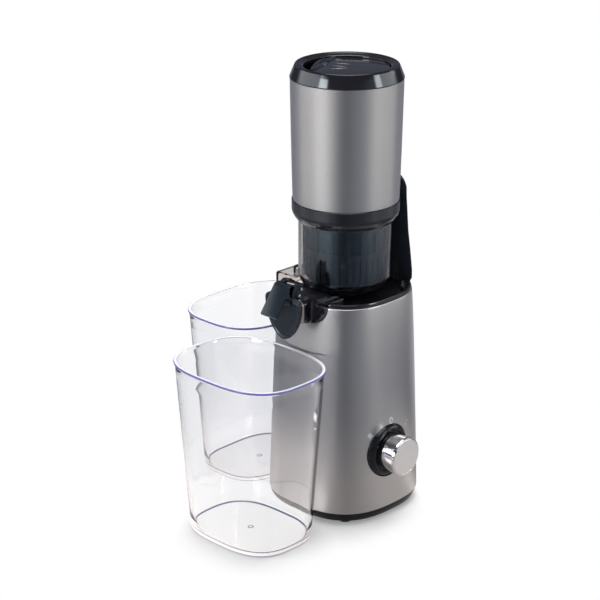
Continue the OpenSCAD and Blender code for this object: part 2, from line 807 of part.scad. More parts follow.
module juice_cap() {
    lever_tip = [-104, 217.5];
    lever_knee = [-85.5, 243];
    front_y = cap_plate_y - cap_plate_t;
    dish_r = 20;
    dish_depth = 1.3;
    dish_z = cap_plate_z - 13;
    color("#1d2127") {
        difference() {
            along_y(front_y, cap_plate_y) translate([0, cap_plate_z]) polygon(cap_outline());
            translate([0, front_y, dish_z]) rotate([90, 0, 0]) rotate_extrude() polygon(concat(
                [for (i = [0 : 8]) let (u = i / 8) [dish_r * u, dish_depth * (u * u - 1)]],
                [[dish_r, 1], [0, 1]]));
        }
        difference() {
            union() {
                cap_profile(cap_half) polygon([
                    [-79, 241.5], [-80, 243.4], lever_knee, lever_tip, lever_tip + [1.4, -2.1],
                    lever_tip + [3.4, -0.9], [-86.4, 237.6], [front_y, 231], [front_y, 224],
                    [cap_plate_y, 224], [cap_plate_y, 236]
                ]);
                for (x = [-1, 1]) translate([x * (cap_half - 1.6), 0, 0]) cap_profile(1.6) {
                    translate(cap_axis) circle(4.4);
                    polygon([
                        cap_axis + [0, 4.4], [-80, 243.4], lever_knee, [-86, 237],
                        [cap_plate_y - 1, 226], [cap_plate_y, 228], cap_axis + [0.5, -4.38]
                    ]);
                }
            }
            translate([-20, cap_axis[0], cap_axis[1]]) rotate([0, 90, 0])
                cylinder(r = cap_pin_r + 0.05, h = 40, $fn = 48);
            translate([-cap_half + 3.2, cap_plate_y + 0.4, 220]) cube([2 * cap_half - 6.4, 14, 30]);
        }
    }
}

module cap_seal() {
    color("#4a4d52") along_y(cap_plate_y, -spout_reach - 0.2)
        translate([0, (spout_low + spout_high) / 2]) rounded(spout_w - 0.6, 21, 5);
}

// ---- auger ----

core_low = 229;
core_high = 318;
// Radius of the auger's core at height z
function core_r(z) = let (u = (z - core_low) / (core_high - core_low)) 21 - 12 * pow(u, 0.8);

// Level where the flights end, below the feed tube, and where they begin to draw in
flight_high = basket_top_z - 0.5;
draw_z = 276;
draw_depth = 6;

// Outer radius of a flight: follows the basket's bend below and draws in towards its end
function flight_r(z) =
    let (bend = bowl_bend_r - basket_in - basket_t,
        drop = max(0, basket_floor_z + basket_t + bend - z),
        draw = max(0, (z - draw_z) / (flight_high - draw_z)))
        auger_r - bend + sqrt(bend * bend - drop * drop) - draw_depth * draw * draw;

// Closed skin of one helical flight that starts at angle a0
module flight(a0, low, high, turns, thick) {
    steps = round(turns * 30);
    sections = [
        for (i = [0 : steps])
            let (u = i / steps, a = a0 + 360 * turns * u, z = low + (high - low) * u * (0.72 + 0.28 * u),
                root = core_r(z) - 3, r = flight_r(z), t = thick * (1 - 0.35 * u), d = [cos(a), sin(a)])
                [
                    [root * d[0], root * d[1], z],
                    [r * d[0], r * d[1], z],
                    [r * d[0], r * d[1], z + t],
                    [root * d[0], root * d[1], z + t * 1.8]
                ]
    ];
    sides = [
        for (i = [0 : steps - 1]) for (k = [0 : 3])
            let (n = (k + 1) % 4, p = 4 * i, q = p + 4)
                each [[p + k, p + n, q + k], [p + n, q + n, q + k]]
    ];
    ends = [[3, 2, 1, 0], [for (k = [0 : 3]) 4 * steps + k]];
    polyhedron([for (s = sections) each s], concat([ends[0]], sides, [ends[1]]), convexity = 8);
}

module auger() {
    profile = [for (i = [0 : 12]) let (z = core_low + (core_high - 6 - core_low) * i / 12) [core_r(z), z]];
    color("#26282c") difference() {
        union() {
            rotate_extrude() polygon(concat([[0, core_low]], profile,
                [[6.5, core_high - 3], [3, core_high - 0.6], [0, core_high]]));
            flight(0, core_low + 0.4, flight_high, auger_turns, 4);
            flight(180, core_low + 24, flight_high - 2, auger_turns / 3, 3.4);
        }
        translate([0, 0, core_low - 1]) cylinder(r = 11.02, h = 12);
    }
}

module auger_shaft() {
    color("#b9bbbe") difference() {
        union() {
            translate([0, 0, bowl_floor_z - 0.7]) cylinder(r = 8, h = core_low - bowl_floor_z + 1.2);
            translate([0, 0, core_low]) cylinder(r = 11, h = 11);
        }
        translate([0, 0, bowl_floor_z - 2]) cylinder(d = 10.5 / cos(30), h = 15, $fn = 6);
    }
}

// ---- hopper ----

module collar() {
    lip = 302;
    bore = mouth_r + tube_t + 0.02;
    color("#15171b") rotate_extrude() polygon([
        [bowl_r + 0.5, collar_low], [47, collar_low], [49.2, 293], [50.8, 296.4], [collar_r, 299],
        [collar_r, collar_high - 0.4], [collar_r - 0.4, collar_high], [bore, collar_high], [bore, lip],
        [bowl_r + 0.5, lip]
    ]);
}

module hopper_shell() {
    low = collar_high + 0.02;
    high = ring_low - 0.02;
    color("#9b9b9d") rotate_extrude() polygon([
        [hopper_foot_r, low], [hopper_foot_r + 1.3, 345], [hopper_top_r - 0.4, 385],
        [hopper_top_r, high], [hopper_top_r - 1.8, high], [hopper_top_r - 2.2, 385],
        [hopper_foot_r - 0.5, 345], [hopper_foot_r - 1.8, low]
    ]);
}

module bevel_ring() {
    outer = hopper_top_r + 0.3;
    seat_r = mouth_r + tube_t;
    wide_r = tube_wide_r + 2.2;
    color("#15171b") rotate_extrude() polygon([
        [outer, ring_low], [outer, ring_low + 0.8], [50.3, 433.6], [48.9, 436.9], [48.1, mouth_z - 0.4],
        [47, mouth_z], [46, mouth_z - 0.3], [45.3, mouth_z - 1.2], [seat_r + 0.02, tube_top_z + 0.1],
        [seat_r + 0.6, tube_lip_z + 1.4], [wide_r - 2, tube_wide_z[1] + 4.6],
        [wide_r, tube_wide_z[1] + 1.4], [wide_r, ring_low]
    ]);
}

module feed_tube() {
    outer = mouth_r + tube_t;
    wide = tube_wide_r + 1.8;
    color("#1a1c20") difference() {
        rotate_extrude() polygon([
            [mouth_r, tube_top_z - 0.6], [mouth_r, tube_lip_z], [tube_wide_r, tube_wide_z[1]],
            [tube_wide_r, tube_wide_z[0]], [tube_throat_r, tube_throat_z], [tube_throat_r, 290.5],
            [42.2, 290.5], [42.2, 301.9], [outer, 302.2], [outer, tube_throat_z - 1],
            [wide, tube_wide_z[0] - 1], [wide, tube_wide_z[1] + 0.9],
            [outer, tube_lip_z + 0.6], [outer, tube_top_z], [mouth_r + 0.6, tube_top_z]
        ]);
        flap_frame() rotate([-90, 0, 0]) translate([0, 0, -60]) cylinder(r = 1.52, h = 120, $fn = 48);
    }
}

// Frame of the flap's hinge: local y runs along the pin, local x over the mouth
module flap_frame() {
    rotate([0, 0, flap_turn]) translate([-flap_offset, 0, flap_z]) children();
}

module flap_pin() {
    half = sqrt(pow(mouth_r + tube_t, 2) - pow(flap_offset, 2)) - 0.4;
    color("#b8babd") flap_frame() rotate([-90, 0, 0]) translate([0, 0, -half])
        cylinder(r = 1.5, h = 2 * half, $fn = 48);
}

// Disc with a raised wing behind its hinge
module flap() {
    hub_r = 2.9;
    hub_half = sqrt(pow(mouth_r, 2) - pow(flap_offset + hub_r, 2)) - fit;
    wing_h = 4.5;
    wing_arc = 120;
    color("#1b1d21") flap_frame() difference() {
        union() {
            intersection() {
                translate([flap_offset, 0, -flap_t / 2]) cylinder(r = flap_r, h = flap_t);
                translate([0, -60, -20]) cube([120, 120, 40]);
            }
            rotate([-90, 0, 0]) translate([0, 0, -hub_half]) cylinder(r = hub_r, h = 2 * hub_half);
            // wing
            intersection() {
                along_y(-40, 40) polygon([[-1.8, 0], [-4.8, wing_h], [-3.4, wing_h + 0.4], [1.4, 1.5]]);
                translate([flap_offset, 0, -1]) cylinder(r = flap_r, h = wing_h + 4);
                rotate([90, 0, 90]) translate([0, wing_h - wing_arc, -10]) cylinder(r = wing_arc, h = 20);
            }
        }
        rotate([-90, 0, 0]) translate([0, 0, -60]) cylinder(r = 1.56, h = 120, $fn = 48);
        // room for the spring
        translate([-6, -5, -8]) cube([9.5, 10, 11.3]);
    }
}

module flap_spring() {
    coils = 4;
    color("#9a9ca0") flap_frame() rotate([-90, 0, 0])
        for (k = [0 : coils - 1]) translate([0, 0, -4.4 + k * 2.4]) rotate_extrude()
            translate([2.15, 0]) square([0.8, 1.6]);
}

// ---- cups ----

module cup() {
    power = 2.9;
    steps = 80;
    foot_levels = [[0, -2.4], [1.4, -0.8], [4, 0]];
    color([0.92, 0.93, 0.97, 0.3]) difference() {
        union() {
            loft(concat(
                [for (l = foot_levels) cup_level(l[0], l[1])],
                [for (z = [90, cup_h - 4]) cup_level(z, 0)],
                [cup_level(cup_h - 2.6, 1), cup_level(cup_h, 1.1)]), power, steps);
        }
        loft(concat([cup_level(3, -cup_wall - 2.6), cup_level(5.5, -cup_wall - 0.4)],
            [for (z = [90, cup_h + 1]) cup_level(z, -cup_wall)]), power, steps);
    }
}

// Outline of a cup at height z, grown by d
function cup_level(z, d) = let (s = cup_taper + (1 - cup_taper) * z / cup_h)
    [cup_long * s + d, cup_short * s + d, z];

juice_cup_at = [-9, -120];
pulp_cup_at = [-118.5, -0.7];

module juice_cup() {
    translate([juice_cup_at[0], juice_cup_at[1], 0]) cup();
}

module pulp_cup() {
    translate([pulp_cup_at[0], pulp_cup_at[1], 0]) rotate([0, 0, 90]) cup();
}

housing();
top_cover();
rear_column();
bottom_cover();
feet();
base_screws();
cord_gland();
knob_bezel();
rotary_switch();
control_board();
interlock_switch();
motor();
gearbox_housing();
gearbox_cover();
gearbox_screws();
layshaft_pin();
output_bearing();
drive_seal();
motor_shaft();
motor_pinion();
cooling_fan();
compound_gear();
output_gear();
drive_shaft();
knob();
switch_spindle();
bowl();
bowl_seal();
strainer_frame();
strainer_mesh();
pulp_gate();
cap_pin();
auger();
auger_shaft();
collar();
hopper_shell();
bevel_ring();
feed_tube();
flap_pin();
flap();
flap_spring();
juice_cap();
cap_seal();
juice_cup();
pulp_cup();
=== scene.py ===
"""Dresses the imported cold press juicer: fine meshes, finishes, studio and camera.

All sizes in the classes are millimetres and are turned to metres where a mesh is made.
The frame is the CAD's: origin on the drive axis at table level, +Z up, -Y the juice spout,
+X the control knob, +Y the rear column, -X the pulp outlet.
"""

import logging
import math
from dataclasses import dataclass
from enum import Enum
from typing import Callable, ClassVar, Iterable, Sequence

import bmesh
import bpy
from mathutils import Euler, Matrix, Vector


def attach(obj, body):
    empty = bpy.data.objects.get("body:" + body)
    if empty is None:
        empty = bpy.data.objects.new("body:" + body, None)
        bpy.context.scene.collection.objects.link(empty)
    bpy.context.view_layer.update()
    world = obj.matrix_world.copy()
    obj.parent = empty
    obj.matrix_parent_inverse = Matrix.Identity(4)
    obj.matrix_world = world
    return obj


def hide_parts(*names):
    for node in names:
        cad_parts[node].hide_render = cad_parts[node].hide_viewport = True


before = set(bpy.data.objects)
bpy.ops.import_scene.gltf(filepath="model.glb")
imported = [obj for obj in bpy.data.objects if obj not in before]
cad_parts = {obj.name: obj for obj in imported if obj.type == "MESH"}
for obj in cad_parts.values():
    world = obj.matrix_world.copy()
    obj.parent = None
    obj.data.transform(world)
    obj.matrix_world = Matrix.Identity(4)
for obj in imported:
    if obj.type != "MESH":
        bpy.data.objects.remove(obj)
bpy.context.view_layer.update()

log = logging.getLogger("juicer")
MM = 0.001
Point2 = tuple[float, float]
Point3 = tuple[float, float, float]
Colour = tuple[float, float, float]
Piece = bpy.types.Object
Node = bpy.types.Node
Socket = bpy.types.NodeSocket
Outputs = bpy.types.NodeOutputs
Inputs = bpy.types.NodeInputs
NodeValue = float | tuple[float, ...] | Socket


class Body(Enum):
    """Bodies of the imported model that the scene's own pieces ride on."""

    BASE = "base"
    KNOB = "knob"
    BOWL = "bowl"
    HOPPER = "hopper"
    JUICE_CAP = "juice_cap"
    JUICE_CUP = "juice_cup"
    PULP_CUP = "pulp_cup"


class Axis(Enum):
    """Direction that a profile turns about or an outline is extruded along."""

    X = "x"
    Y = "y"
    Z = "z"


class Joining(Enum):
    """Way in which one solid changes another."""

    CUT = "DIFFERENCE"
    FUSE = "UNION"


# ---------------------------------------------------------------- outlines


class Outline:
    """Plane curves that the pieces are drawn from, in millimetres."""

    # A corner flatter than this angle stays; an arc takes no more than this share of an edge
    FLAT = 0.02
    EDGE_SHARE = 0.48

    @staticmethod
    def superellipse(half_x: float, half_y: float, power: float, steps: int) -> list[Point2]:
        """Superellipse through (half_x, 0) and (0, half_y), anticlockwise.

        Args:
            half_x: half width along x.
            half_y: half width along y.
            power: 2 gives an ellipse, larger values a squarer curve.
            steps: number of points.

        Returns:
            The points of the closed curve.
        """
        points = []
        for i in range(steps):
            a = 2 * math.pi * i / steps
            c, s = math.cos(a), math.sin(a)
            points.append((
                math.copysign(half_x * abs(c) ** (2 / power), c),
                math.copysign(half_y * abs(s) ** (2 / power), s),
            ))
        return points

    @staticmethod
    def rounded(points: Sequence[Point2], radii: float | Sequence[float], steps: int = 5) -> list[Point2]:
        """Rounds the corners of a polygon with tangent arcs.

        Args:
            points: corners of the polygon.
            radii: one radius for all corners, or one for each corner.
            steps: segments of each arc.

        Returns:
            The rounded polygon.
        """
        count = len(points)
        sizes = [radii] * count if isinstance(radii, (int, float)) else list(radii)
        result: list[Point2] = []
        for i, (here, radius) in enumerate(zip(points, sizes)):
            p = Vector(here)
            before = Vector(points[i - 1]) - p
            after = Vector(points[(i + 1) % count]) - p
            angle = before.angle(after) if before.length and after.length else math.pi
            if radius <= 0 or angle > math.pi - Outline.FLAT:
                result.append((p.x, p.y))
                continue
            most = Outline.EDGE_SHARE * min(before.length, after.length)
            reach = min(radius / math.tan(angle / 2), most)
            start, end = p + before.normalized() * reach, p + after.normalized() * reach
            for k in range(steps + 1):
                t = k / steps
                q = start * (1 - t) ** 2 + p * 2 * t * (1 - t) + end * t ** 2
                result.append((q.x, q.y))
        return result

    @staticmethod
    def arc(cx: float, cy: float, radius: float, start: float, end: float, steps: int) -> list[Point2]:
        """Points of an arc between two angles in degrees, ends included."""
        angles = [math.radians(start + (end - start) * i / steps) for i in range(steps + 1)]
        return [(cx + radius * math.cos(a), cy + radius * math.sin(a)) for a in angles]

    @staticmethod
    def u_shape(half: float, low: float, high: float, radius: float, steps: int = 14) -> list[Point2]:
        """U with round lower corners, open edge at the top.

        Args:
            half: half width.
            low: level of the lowest point.
            high: level of the open edge.
            radius: radius of the lower corners.
            steps: segments of each corner.

        Returns:
            The points from the upper left to the upper right.
        """
        left = Outline.arc(-half + radius, low + radius, radius, 180, 270, steps)
        right = Outline.arc(half - radius, low + radius, radius, 270, 360, steps)
        return [(-half, high), *left, *right, (half, high)]


# ---------------------------------------------------------------- solids


class Solid:
    """Makes and shapes mesh objects from outlines given in millimetres."""

    # Angles in degrees: edges sharper than these are kept sharp, or are rounded by soften
    SHARP = 32.0
    ROUND_FROM = 40.0

    @staticmethod
    def from_bmesh(name: str, bm: bmesh.types.BMesh) -> Piece:
        """Turns a bmesh in millimetres to an object in metres with outward faces.

        Args:
            name: name of the new object.
            bm: the mesh in millimetres, which is freed.

        Returns:
            The new object.
        """
        bmesh.ops.recalc_face_normals(bm, faces=bm.faces)
        bmesh.ops.scale(bm, vec=(MM, MM, MM), verts=bm.verts)
        mesh = bpy.data.meshes.new(name)
        bm.to_mesh(mesh)
        bm.free()
        piece = bpy.data.objects.new(name, mesh)
        bpy.context.scene.collection.objects.link(piece)
        return piece

    @staticmethod
    def loft(name: str, rings: Sequence[Sequence[Point3]], loop: bool = False) -> Piece:
        """Closed skin through rings of the same number of points.

        Args:
            name: name of the new object.
            rings: outlines one after another; a ring of one point is a pole.
            loop: joins the last ring to the first in place of two end faces.

        Returns:
            The new object.
        """
        bm = bmesh.new()
        rows = [[bm.verts.new(p) for p in ring] for ring in rings]
        pairs = list(zip(rows, rows[1:])) + ([(rows[-1], rows[0])] if loop else [])
        for low, high in pairs:
            count = max(len(low), len(high))
            for i in range(count):
                j = (i + 1) % count
                corners = [low[i % len(low)], low[j % len(low)], high[j % len(high)], high[i % len(high)]]
                bm.faces.new(list(dict.fromkeys(corners)))
        if not loop:
            for row in (rows[0], rows[-1]):
                if len(row) > 2:
                    bm.faces.new(row)
        return Solid.from_bmesh(name, bm)

    @staticmethod
    def revolve(name: str, profile: Sequence[Point2], steps: int = 192, axis: Axis = Axis.Z,
                centre: Point3 = (0, 0, 0)) -> Piece:
        """Turns a profile of (radius, height) points about an axis.

        Args:
            name: name of the new object.
            profile: closed outline, or one that starts and ends on the axis.
            steps: number of segments round the axis.
            axis: direction of the axis.
            centre: a point on the axis.

        Returns:
            The new object.
        """
        rings: list[list[Point3]] = []
        for radius, height in profile:
            count = steps if radius > 1e-6 else 1
            ring = []
            for i in range(count):
                a = 2 * math.pi * i / steps
                u, v = radius * math.cos(a), radius * math.sin(a)
                p = {Axis.X: (height, u, v), Axis.Y: (v, height, u), Axis.Z: (u, v, height)}[axis]
                ring.append((p[0] + centre[0], p[1] + centre[1], p[2] + centre[2]))
            rings.append(ring)
        poles = len(rings[0]) == 1 and len(rings[-1]) == 1
        return Solid.loft(name, rings, loop=not poles)

    @staticmethod
    def extrude(name: str, outline: Sequence[Point2], low: float, high: float,
                axis: Axis = Axis.Z) -> Piece:
        """Prism of an outline between two levels of an axis.

        The outline's plane is xy for Z, xz for Y and yz for X.

        Args:
            name: name of the new object.
            outline: closed outline.
            low: level of the first end.
            high: level of the other end.
            axis: direction of the prism.

        Returns:
            The new object.
        """
        def place(p: Point2, level: float) -> Point3:
            """Point of the outline at a level of the axis."""
            return {Axis.X: (level, *p), Axis.Y: (p[0], level, p[1]), Axis.Z: (*p, level)}[axis]
        return Solid.loft(name, [[place(p, level) for p in outline] for level in (low, high)])

    @staticmethod
    def peg(radius: float, low: float, high: float, steps: int, axis: Axis = Axis.Z,
            centre: Point3 = (0, 0, 0)) -> Piece:
        """Cylinder between two levels of an axis, used as a cutter."""
        profile = [(0, low), (radius, low), (radius, high), (0, high)]
        return Solid.revolve("peg", profile, steps, axis, centre)

    @staticmethod
    def block(low: Point3, high: Point3) -> Piece:
        """Upright block between two corners, used as a cutter."""
        outline = [(low[0], low[1]), (high[0], low[1]), (high[0], high[1]), (low[0], high[1])]
        return Solid.extrude("block", outline, low[2], high[2])

    @staticmethod
    def settle(piece: Piece) -> Piece:
        """Applies the modifiers of a new piece to its mesh.

        Args:
            piece: the piece.

        Returns:
            The piece with its new mesh and no modifiers.
        """
        bpy.context.view_layer.update()
        graph = bpy.context.evaluated_depsgraph_get()
        mesh = bpy.data.meshes.new_from_object(piece.evaluated_get(graph))
        piece.modifiers.clear()
        old, piece.data = piece.data, mesh
        bpy.data.meshes.remove(old)
        return piece

    @staticmethod
    def combine(piece: Piece, others: Iterable[Piece], way: Joining = Joining.CUT) -> Piece:
        """Boolean of a piece with others, which are used up.

        Args:
            piece: the piece that changes.
            others: the pieces to cut with or to add.
            way: cut or fuse.

        Returns:
            The piece.
        """
        for other in others:
            step = piece.modifiers.new("combine", "BOOLEAN")
            step.operation, step.solver, step.object = way.value, "EXACT", other
            Solid.settle(piece)
            bpy.data.objects.remove(other)
        return piece

    @staticmethod
    def soften(piece: Piece, width: float, segments: int = 3) -> Piece:
        """Rounds the edges of a new piece to a width in millimetres.

        Args:
            piece: the piece.
            width: width of the rounding.
            segments: faces across it.

        Returns:
            The piece.
        """
        step = piece.modifiers.new("round", "BEVEL")
        step.width, step.segments = width * MM, segments
        step.limit_method, step.angle_limit = "ANGLE", math.radians(Solid.ROUND_FROM)
        step.miter_outer = "MITER_ARC"
        return Solid.settle(piece)

    @staticmethod
    def smooth(piece: Piece, angle: float = SHARP) -> Piece:
        """Smooth shading that keeps the edges sharper than an angle in degrees.

        Args:
            piece: the piece.
            angle: the angle.

        Returns:
            The piece.
        """
        piece.data.polygons.foreach_set("use_smooth", [True] * len(piece.data.polygons))
        piece.data.set_sharp_from_angle(angle=math.radians(angle))
        return piece

    @staticmethod
    def join(name: str, pieces: Sequence[Piece]) -> Piece:
        """One object with the meshes of several, without their walls being merged.

        Args:
            name: name of the new object.
            pieces: the pieces, which are used up.

        Returns:
            The new object.
        """
        bm = bmesh.new()
        for piece in pieces:
            bm.from_mesh(piece.data)
        mesh = bpy.data.meshes.new(name)
        bm.to_mesh(mesh)
        bm.free()
        for piece in pieces:
            bpy.data.objects.remove(piece)
        whole = bpy.data.objects.new(name, mesh)
        bpy.context.scene.collection.objects.link(whole)
        return whole

    @staticmethod
    def turn(piece: Piece, degrees: float, axis: Axis = Axis.Z) -> Piece:
        """Turns the mesh of a piece about an axis through the origin."""
        piece.data.transform(Matrix.Rotation(math.radians(degrees), 4, axis.name))
        return piece

    @staticmethod
    def shift(piece: Piece, x: float, y: float, z: float) -> Piece:
        """Moves the mesh of a piece by millimetres."""
        piece.data.transform(Matrix.Translation((x * MM, y * MM, z * MM)))
        return piece


# ---------------------------------------------------------------- node groups


class Wiring:
    """Adds and joins the nodes of one node tree."""

    def __init__(self, tree: bpy.types.NodeTree) -> None:
        """Keeps the tree that the nodes go to."""
        self.tree = tree

    @classmethod
    def fresh(cls, owner: bpy.types.Material | bpy.types.World) -> "Wiring":
        """Wiring of a material's or world's node tree, emptied first.

        Args:
            owner: the material or world.

        Returns:
            The wiring.
        """
        owner.use_nodes = True
        owner.node_tree.nodes.clear()
        return cls(owner.node_tree)

    def feed(self, socket: Socket, value: NodeValue) -> None:
        """Gives an input a constant, or joins an output to it.

        Args:
            socket: the input.
            value: the constant or the output.
        """
        if isinstance(value, Socket):
            self.tree.links.new(value, socket)
        else:
            socket.default_value = value

    def add(self, kind: str, inputs: dict[str | int, NodeValue] | None = None, **settings: object) -> Node:
        """Adds one node.

        Args:
            kind: Blender's type name of the node.
            inputs: constants or output sockets, by the input's name or number.
            settings: properties of the node.

        Returns:
            The new node.
        """
        node = self.tree.nodes.new(kind)
        for name, value in settings.items():
            setattr(node, name, value)
        for key, value in (inputs or {}).items():
            self.feed(node.inputs[key], value)
        return node

    def here(self) -> Socket:
        """The object's own coordinates."""
        return self.add("ShaderNodeTexCoord").outputs["Object"]

    def math(self, operation: str, a: NodeValue, b: NodeValue = 0.0, clamp: bool = False) -> Socket:
        """Result of a math node."""
        return self.add("ShaderNodeMath", {0: a, 1: b}, operation=operation, use_clamp=clamp).outputs[0]

    def vector(self, operation: str, a: NodeValue, b: NodeValue = (0, 0, 0)) -> Socket:
        """Vector that a vector math node puts out."""
        return self.add("ShaderNodeVectorMath", {0: a, 1: b}, operation=operation).outputs["Vector"]

    def measure(self, operation: str, a: NodeValue, b: NodeValue = (0, 0, 0)) -> Socket:
        """Number that a vector math node puts out."""
        return self.add("ShaderNodeVectorMath", {0: a, 1: b}, operation=operation).outputs["Value"]

    def fade(self, value: NodeValue, span: Point2, start: float = 0.0, end: float = 1.0,
             kind: str = "SMOOTHSTEP") -> Socket:
        """Level that goes from start to end while the value goes through a span.

        Args:
            value: the value.
            span: where the level starts and where it ends.
            start: level before the span.
            end: level after it.
            kind: Blender's name of the interpolation.

        Returns:
            The level.
        """
        inputs = {0: value, 1: span[0], 2: span[1], 3: start, 4: end}
        return self.add("ShaderNodeMapRange", inputs, interpolation_type=kind).outputs[0]

    def blend(self, share: NodeValue, first: NodeValue, second: NodeValue, way: str = "MIX") -> Socket:
        """Mix of two colours."""
        node = self.add("ShaderNodeMix", {0: share, 6: first, 7: second}, data_type="RGBA", blend_type=way)
        return node.outputs[2]

    def noise(self, scale: NodeValue, detail: float = 2.0) -> Socket:
        """Grey noise over the object's own coordinates."""
        inputs = {"Vector": self.here(), "Scale": scale, "Detail": detail}
        return self.add("ShaderNodeTexNoise", inputs).outputs[0]

    def mixed(self, share: Socket, first: Node, second: Node) -> Node:
        """Mix of two shaders."""
        return self.add("ShaderNodeMixShader", {0: share, 1: first.outputs[0], 2: second.outputs[0]})

    def close(self, shader: Node, kind: str = "ShaderNodeOutputMaterial") -> None:
        """Joins the last shader to the tree's output."""
        self.add(kind, {0: shader.outputs[0]})


class Effect:
    """Shader node group that several finishes share; it is built once."""

    name = "effect"
    inputs: tuple[tuple[str, str, NodeValue], ...] = ()
    outputs: tuple[tuple[str, str], ...] = ()
    _KINDS = {"value": "NodeSocketFloat", "colour": "NodeSocketColor", "vector": "NodeSocketVector"}

    @classmethod
    def tree(cls) -> bpy.types.NodeTree:
        """The group's node tree, made at the first call.

        Returns:
            The tree.
        """
        found = bpy.data.node_groups.get(cls.name)
        if found:
            return found
        tree = bpy.data.node_groups.new(cls.name, "ShaderNodeTree")
        for name, kind, value in cls.inputs:
            socket = tree.interface.new_socket(name, in_out="INPUT", socket_type=cls._KINDS[kind])
            socket.default_value = value
        for name, kind in cls.outputs:
            tree.interface.new_socket(name, in_out="OUTPUT", socket_type=cls._KINDS[kind])
        w = Wiring(tree)
        cls.wire(w, w.add("NodeGroupInput").outputs, w.add("NodeGroupOutput").inputs)
        return tree

    @classmethod
    def wire(cls, w: Wiring, given: Outputs, result: Inputs) -> None:
        """Joins the nodes inside the group."""
        raise NotImplementedError

    @classmethod
    def place(cls, w: Wiring, **inputs: NodeValue) -> Node:
        """Places the group in a material with its own values.

        Args:
            w: wiring of the material.
            inputs: values or outputs by the group's input, in lower case.

        Returns:
            The group's node.
        """
        node = w.add("ShaderNodeGroup")
        node.node_tree = cls.tree()
        for key, value in inputs.items():
            w.feed(node.inputs[key.replace("_", " ").title()], value)
        return node


class FlakeGrain(Effect):
    """Fine metallic flake and slow tone changes of a lacquer or moulding."""

    name = "flake_grain"
    inputs = (("Colour", "colour", (0.5, 0.5, 0.5, 1)), ("Scale", "value", 900.0), ("Amount", "value", 0.1))
    outputs = (("Colour", "colour"),)

    @classmethod
    def wire(cls, w: Wiring, given: Outputs, result: Inputs) -> None:
        """Lightens and darkens the colour by two sizes of noise.

        Args:
            w: wiring of the group's tree.
            given: what the group is given.
            result: what it puts out.
        """
        fine = w.noise(given["Scale"], 3.0)
        broad = w.noise(w.math("MULTIPLY", given["Scale"], 0.02), 2.0)
        swing = w.math("MULTIPLY", w.math("SUBTRACT", fine, 0.5), given["Amount"])
        slow = w.math("MULTIPLY", w.math("SUBTRACT", broad, 0.5), w.math("MULTIPLY", given["Amount"], 0.3))
        level = w.math("ADD", w.math("ADD", swing, slow), 1.0)
        shade = w.add("ShaderNodeCombineColor", {0: level, 1: level, 2: level}).outputs[0]
        w.feed(result["Colour"], w.blend(1.0, given["Colour"], shade, "MULTIPLY"))


class HandlingMarks(Effect):
    """Faint smudges and specks that change how glossy a surface is."""

    name = "handling_marks"
    inputs = (("Roughness", "value", 0.2), ("Scale", "value", 30.0), ("Amount", "value", 0.05))
    outputs = (("Roughness", "value"),)

    @classmethod
    def wire(cls, w: Wiring, given: Outputs, result: Inputs) -> None:
        """Adds soft clouds and a few small specks to the roughness.

        Args:
            w: wiring of the group's tree.
            given: what the group is given.
            result: what it puts out.
        """
        clouds = w.fade(w.noise(given["Scale"], 4.0), (0.45, 0.75))
        specks = w.fade(w.noise(w.math("MULTIPLY", given["Scale"], 14.0), 1.0), (0.72, 0.8), kind="LINEAR")
        mask = w.math("ADD", clouds, w.math("MULTIPLY", specks, 0.6), clamp=True)
        rise = w.math("MULTIPLY", mask, given["Amount"])
        w.feed(result["Roughness"], w.math("ADD", given["Roughness"], rise, clamp=True))


class MouldedSkin(Effect):
    """Faint orange peel or spark texture of a moulded or cast surface."""

    name = "moulded_skin"
    inputs = (("Scale", "value", 400.0), ("Waviness", "value", 0.3))
    outputs = (("Height", "value"),)

    @classmethod
    def wire(cls, w: Wiring, given: Outputs, result: Inputs) -> None:
        """Sums a fine grain and a slow waviness.

        Args:
            w: wiring of the group's tree.
            given: what the group is given.
            result: what it puts out.
        """
        fine = w.noise(given["Scale"], 3.0)
        slow = w.noise(w.math("MULTIPLY", given["Scale"], 0.12), 1.0)
        w.feed(result["Height"], w.math("ADD", fine, w.math("MULTIPLY", slow, given["Waviness"])))


class TurnedRings(Effect):
    """Concentric marks of a turning tool about an axis through a point."""

    name = "turned_rings"
    inputs = (("Centre", "vector", (0, 0, 0)), ("Mask Axis", "vector", (0, 1, 1)), ("Pitch", "value", 4000.0))
    outputs = (("Height", "value"),)

    @classmethod
    def wire(cls, w: Wiring, given: Outputs, result: Inputs) -> None:
        """Waves over the distance from the axis, made uneven by noise.

        Args:
            w: wiring of the group's tree.
            given: what the group is given.
            result: what it puts out.
        """
        off = w.vector("SUBTRACT", w.here(), given["Centre"])
        radius = w.measure("LENGTH", w.vector("MULTIPLY", off, given["Mask Axis"]))
        wave = w.math("SINE", w.math("MULTIPLY", radius, given["Pitch"]))
        along = {"W": w.math("MULTIPLY", radius, 900.0), "Detail": 2.0, "Scale": 1.0}
        rough = w.add("ShaderNodeTexNoise", along, noise_dimensions="1D").outputs[0]
        w.feed(result["Height"], w.math("ADD", w.math("MULTIPLY", wave, 0.35), rough))


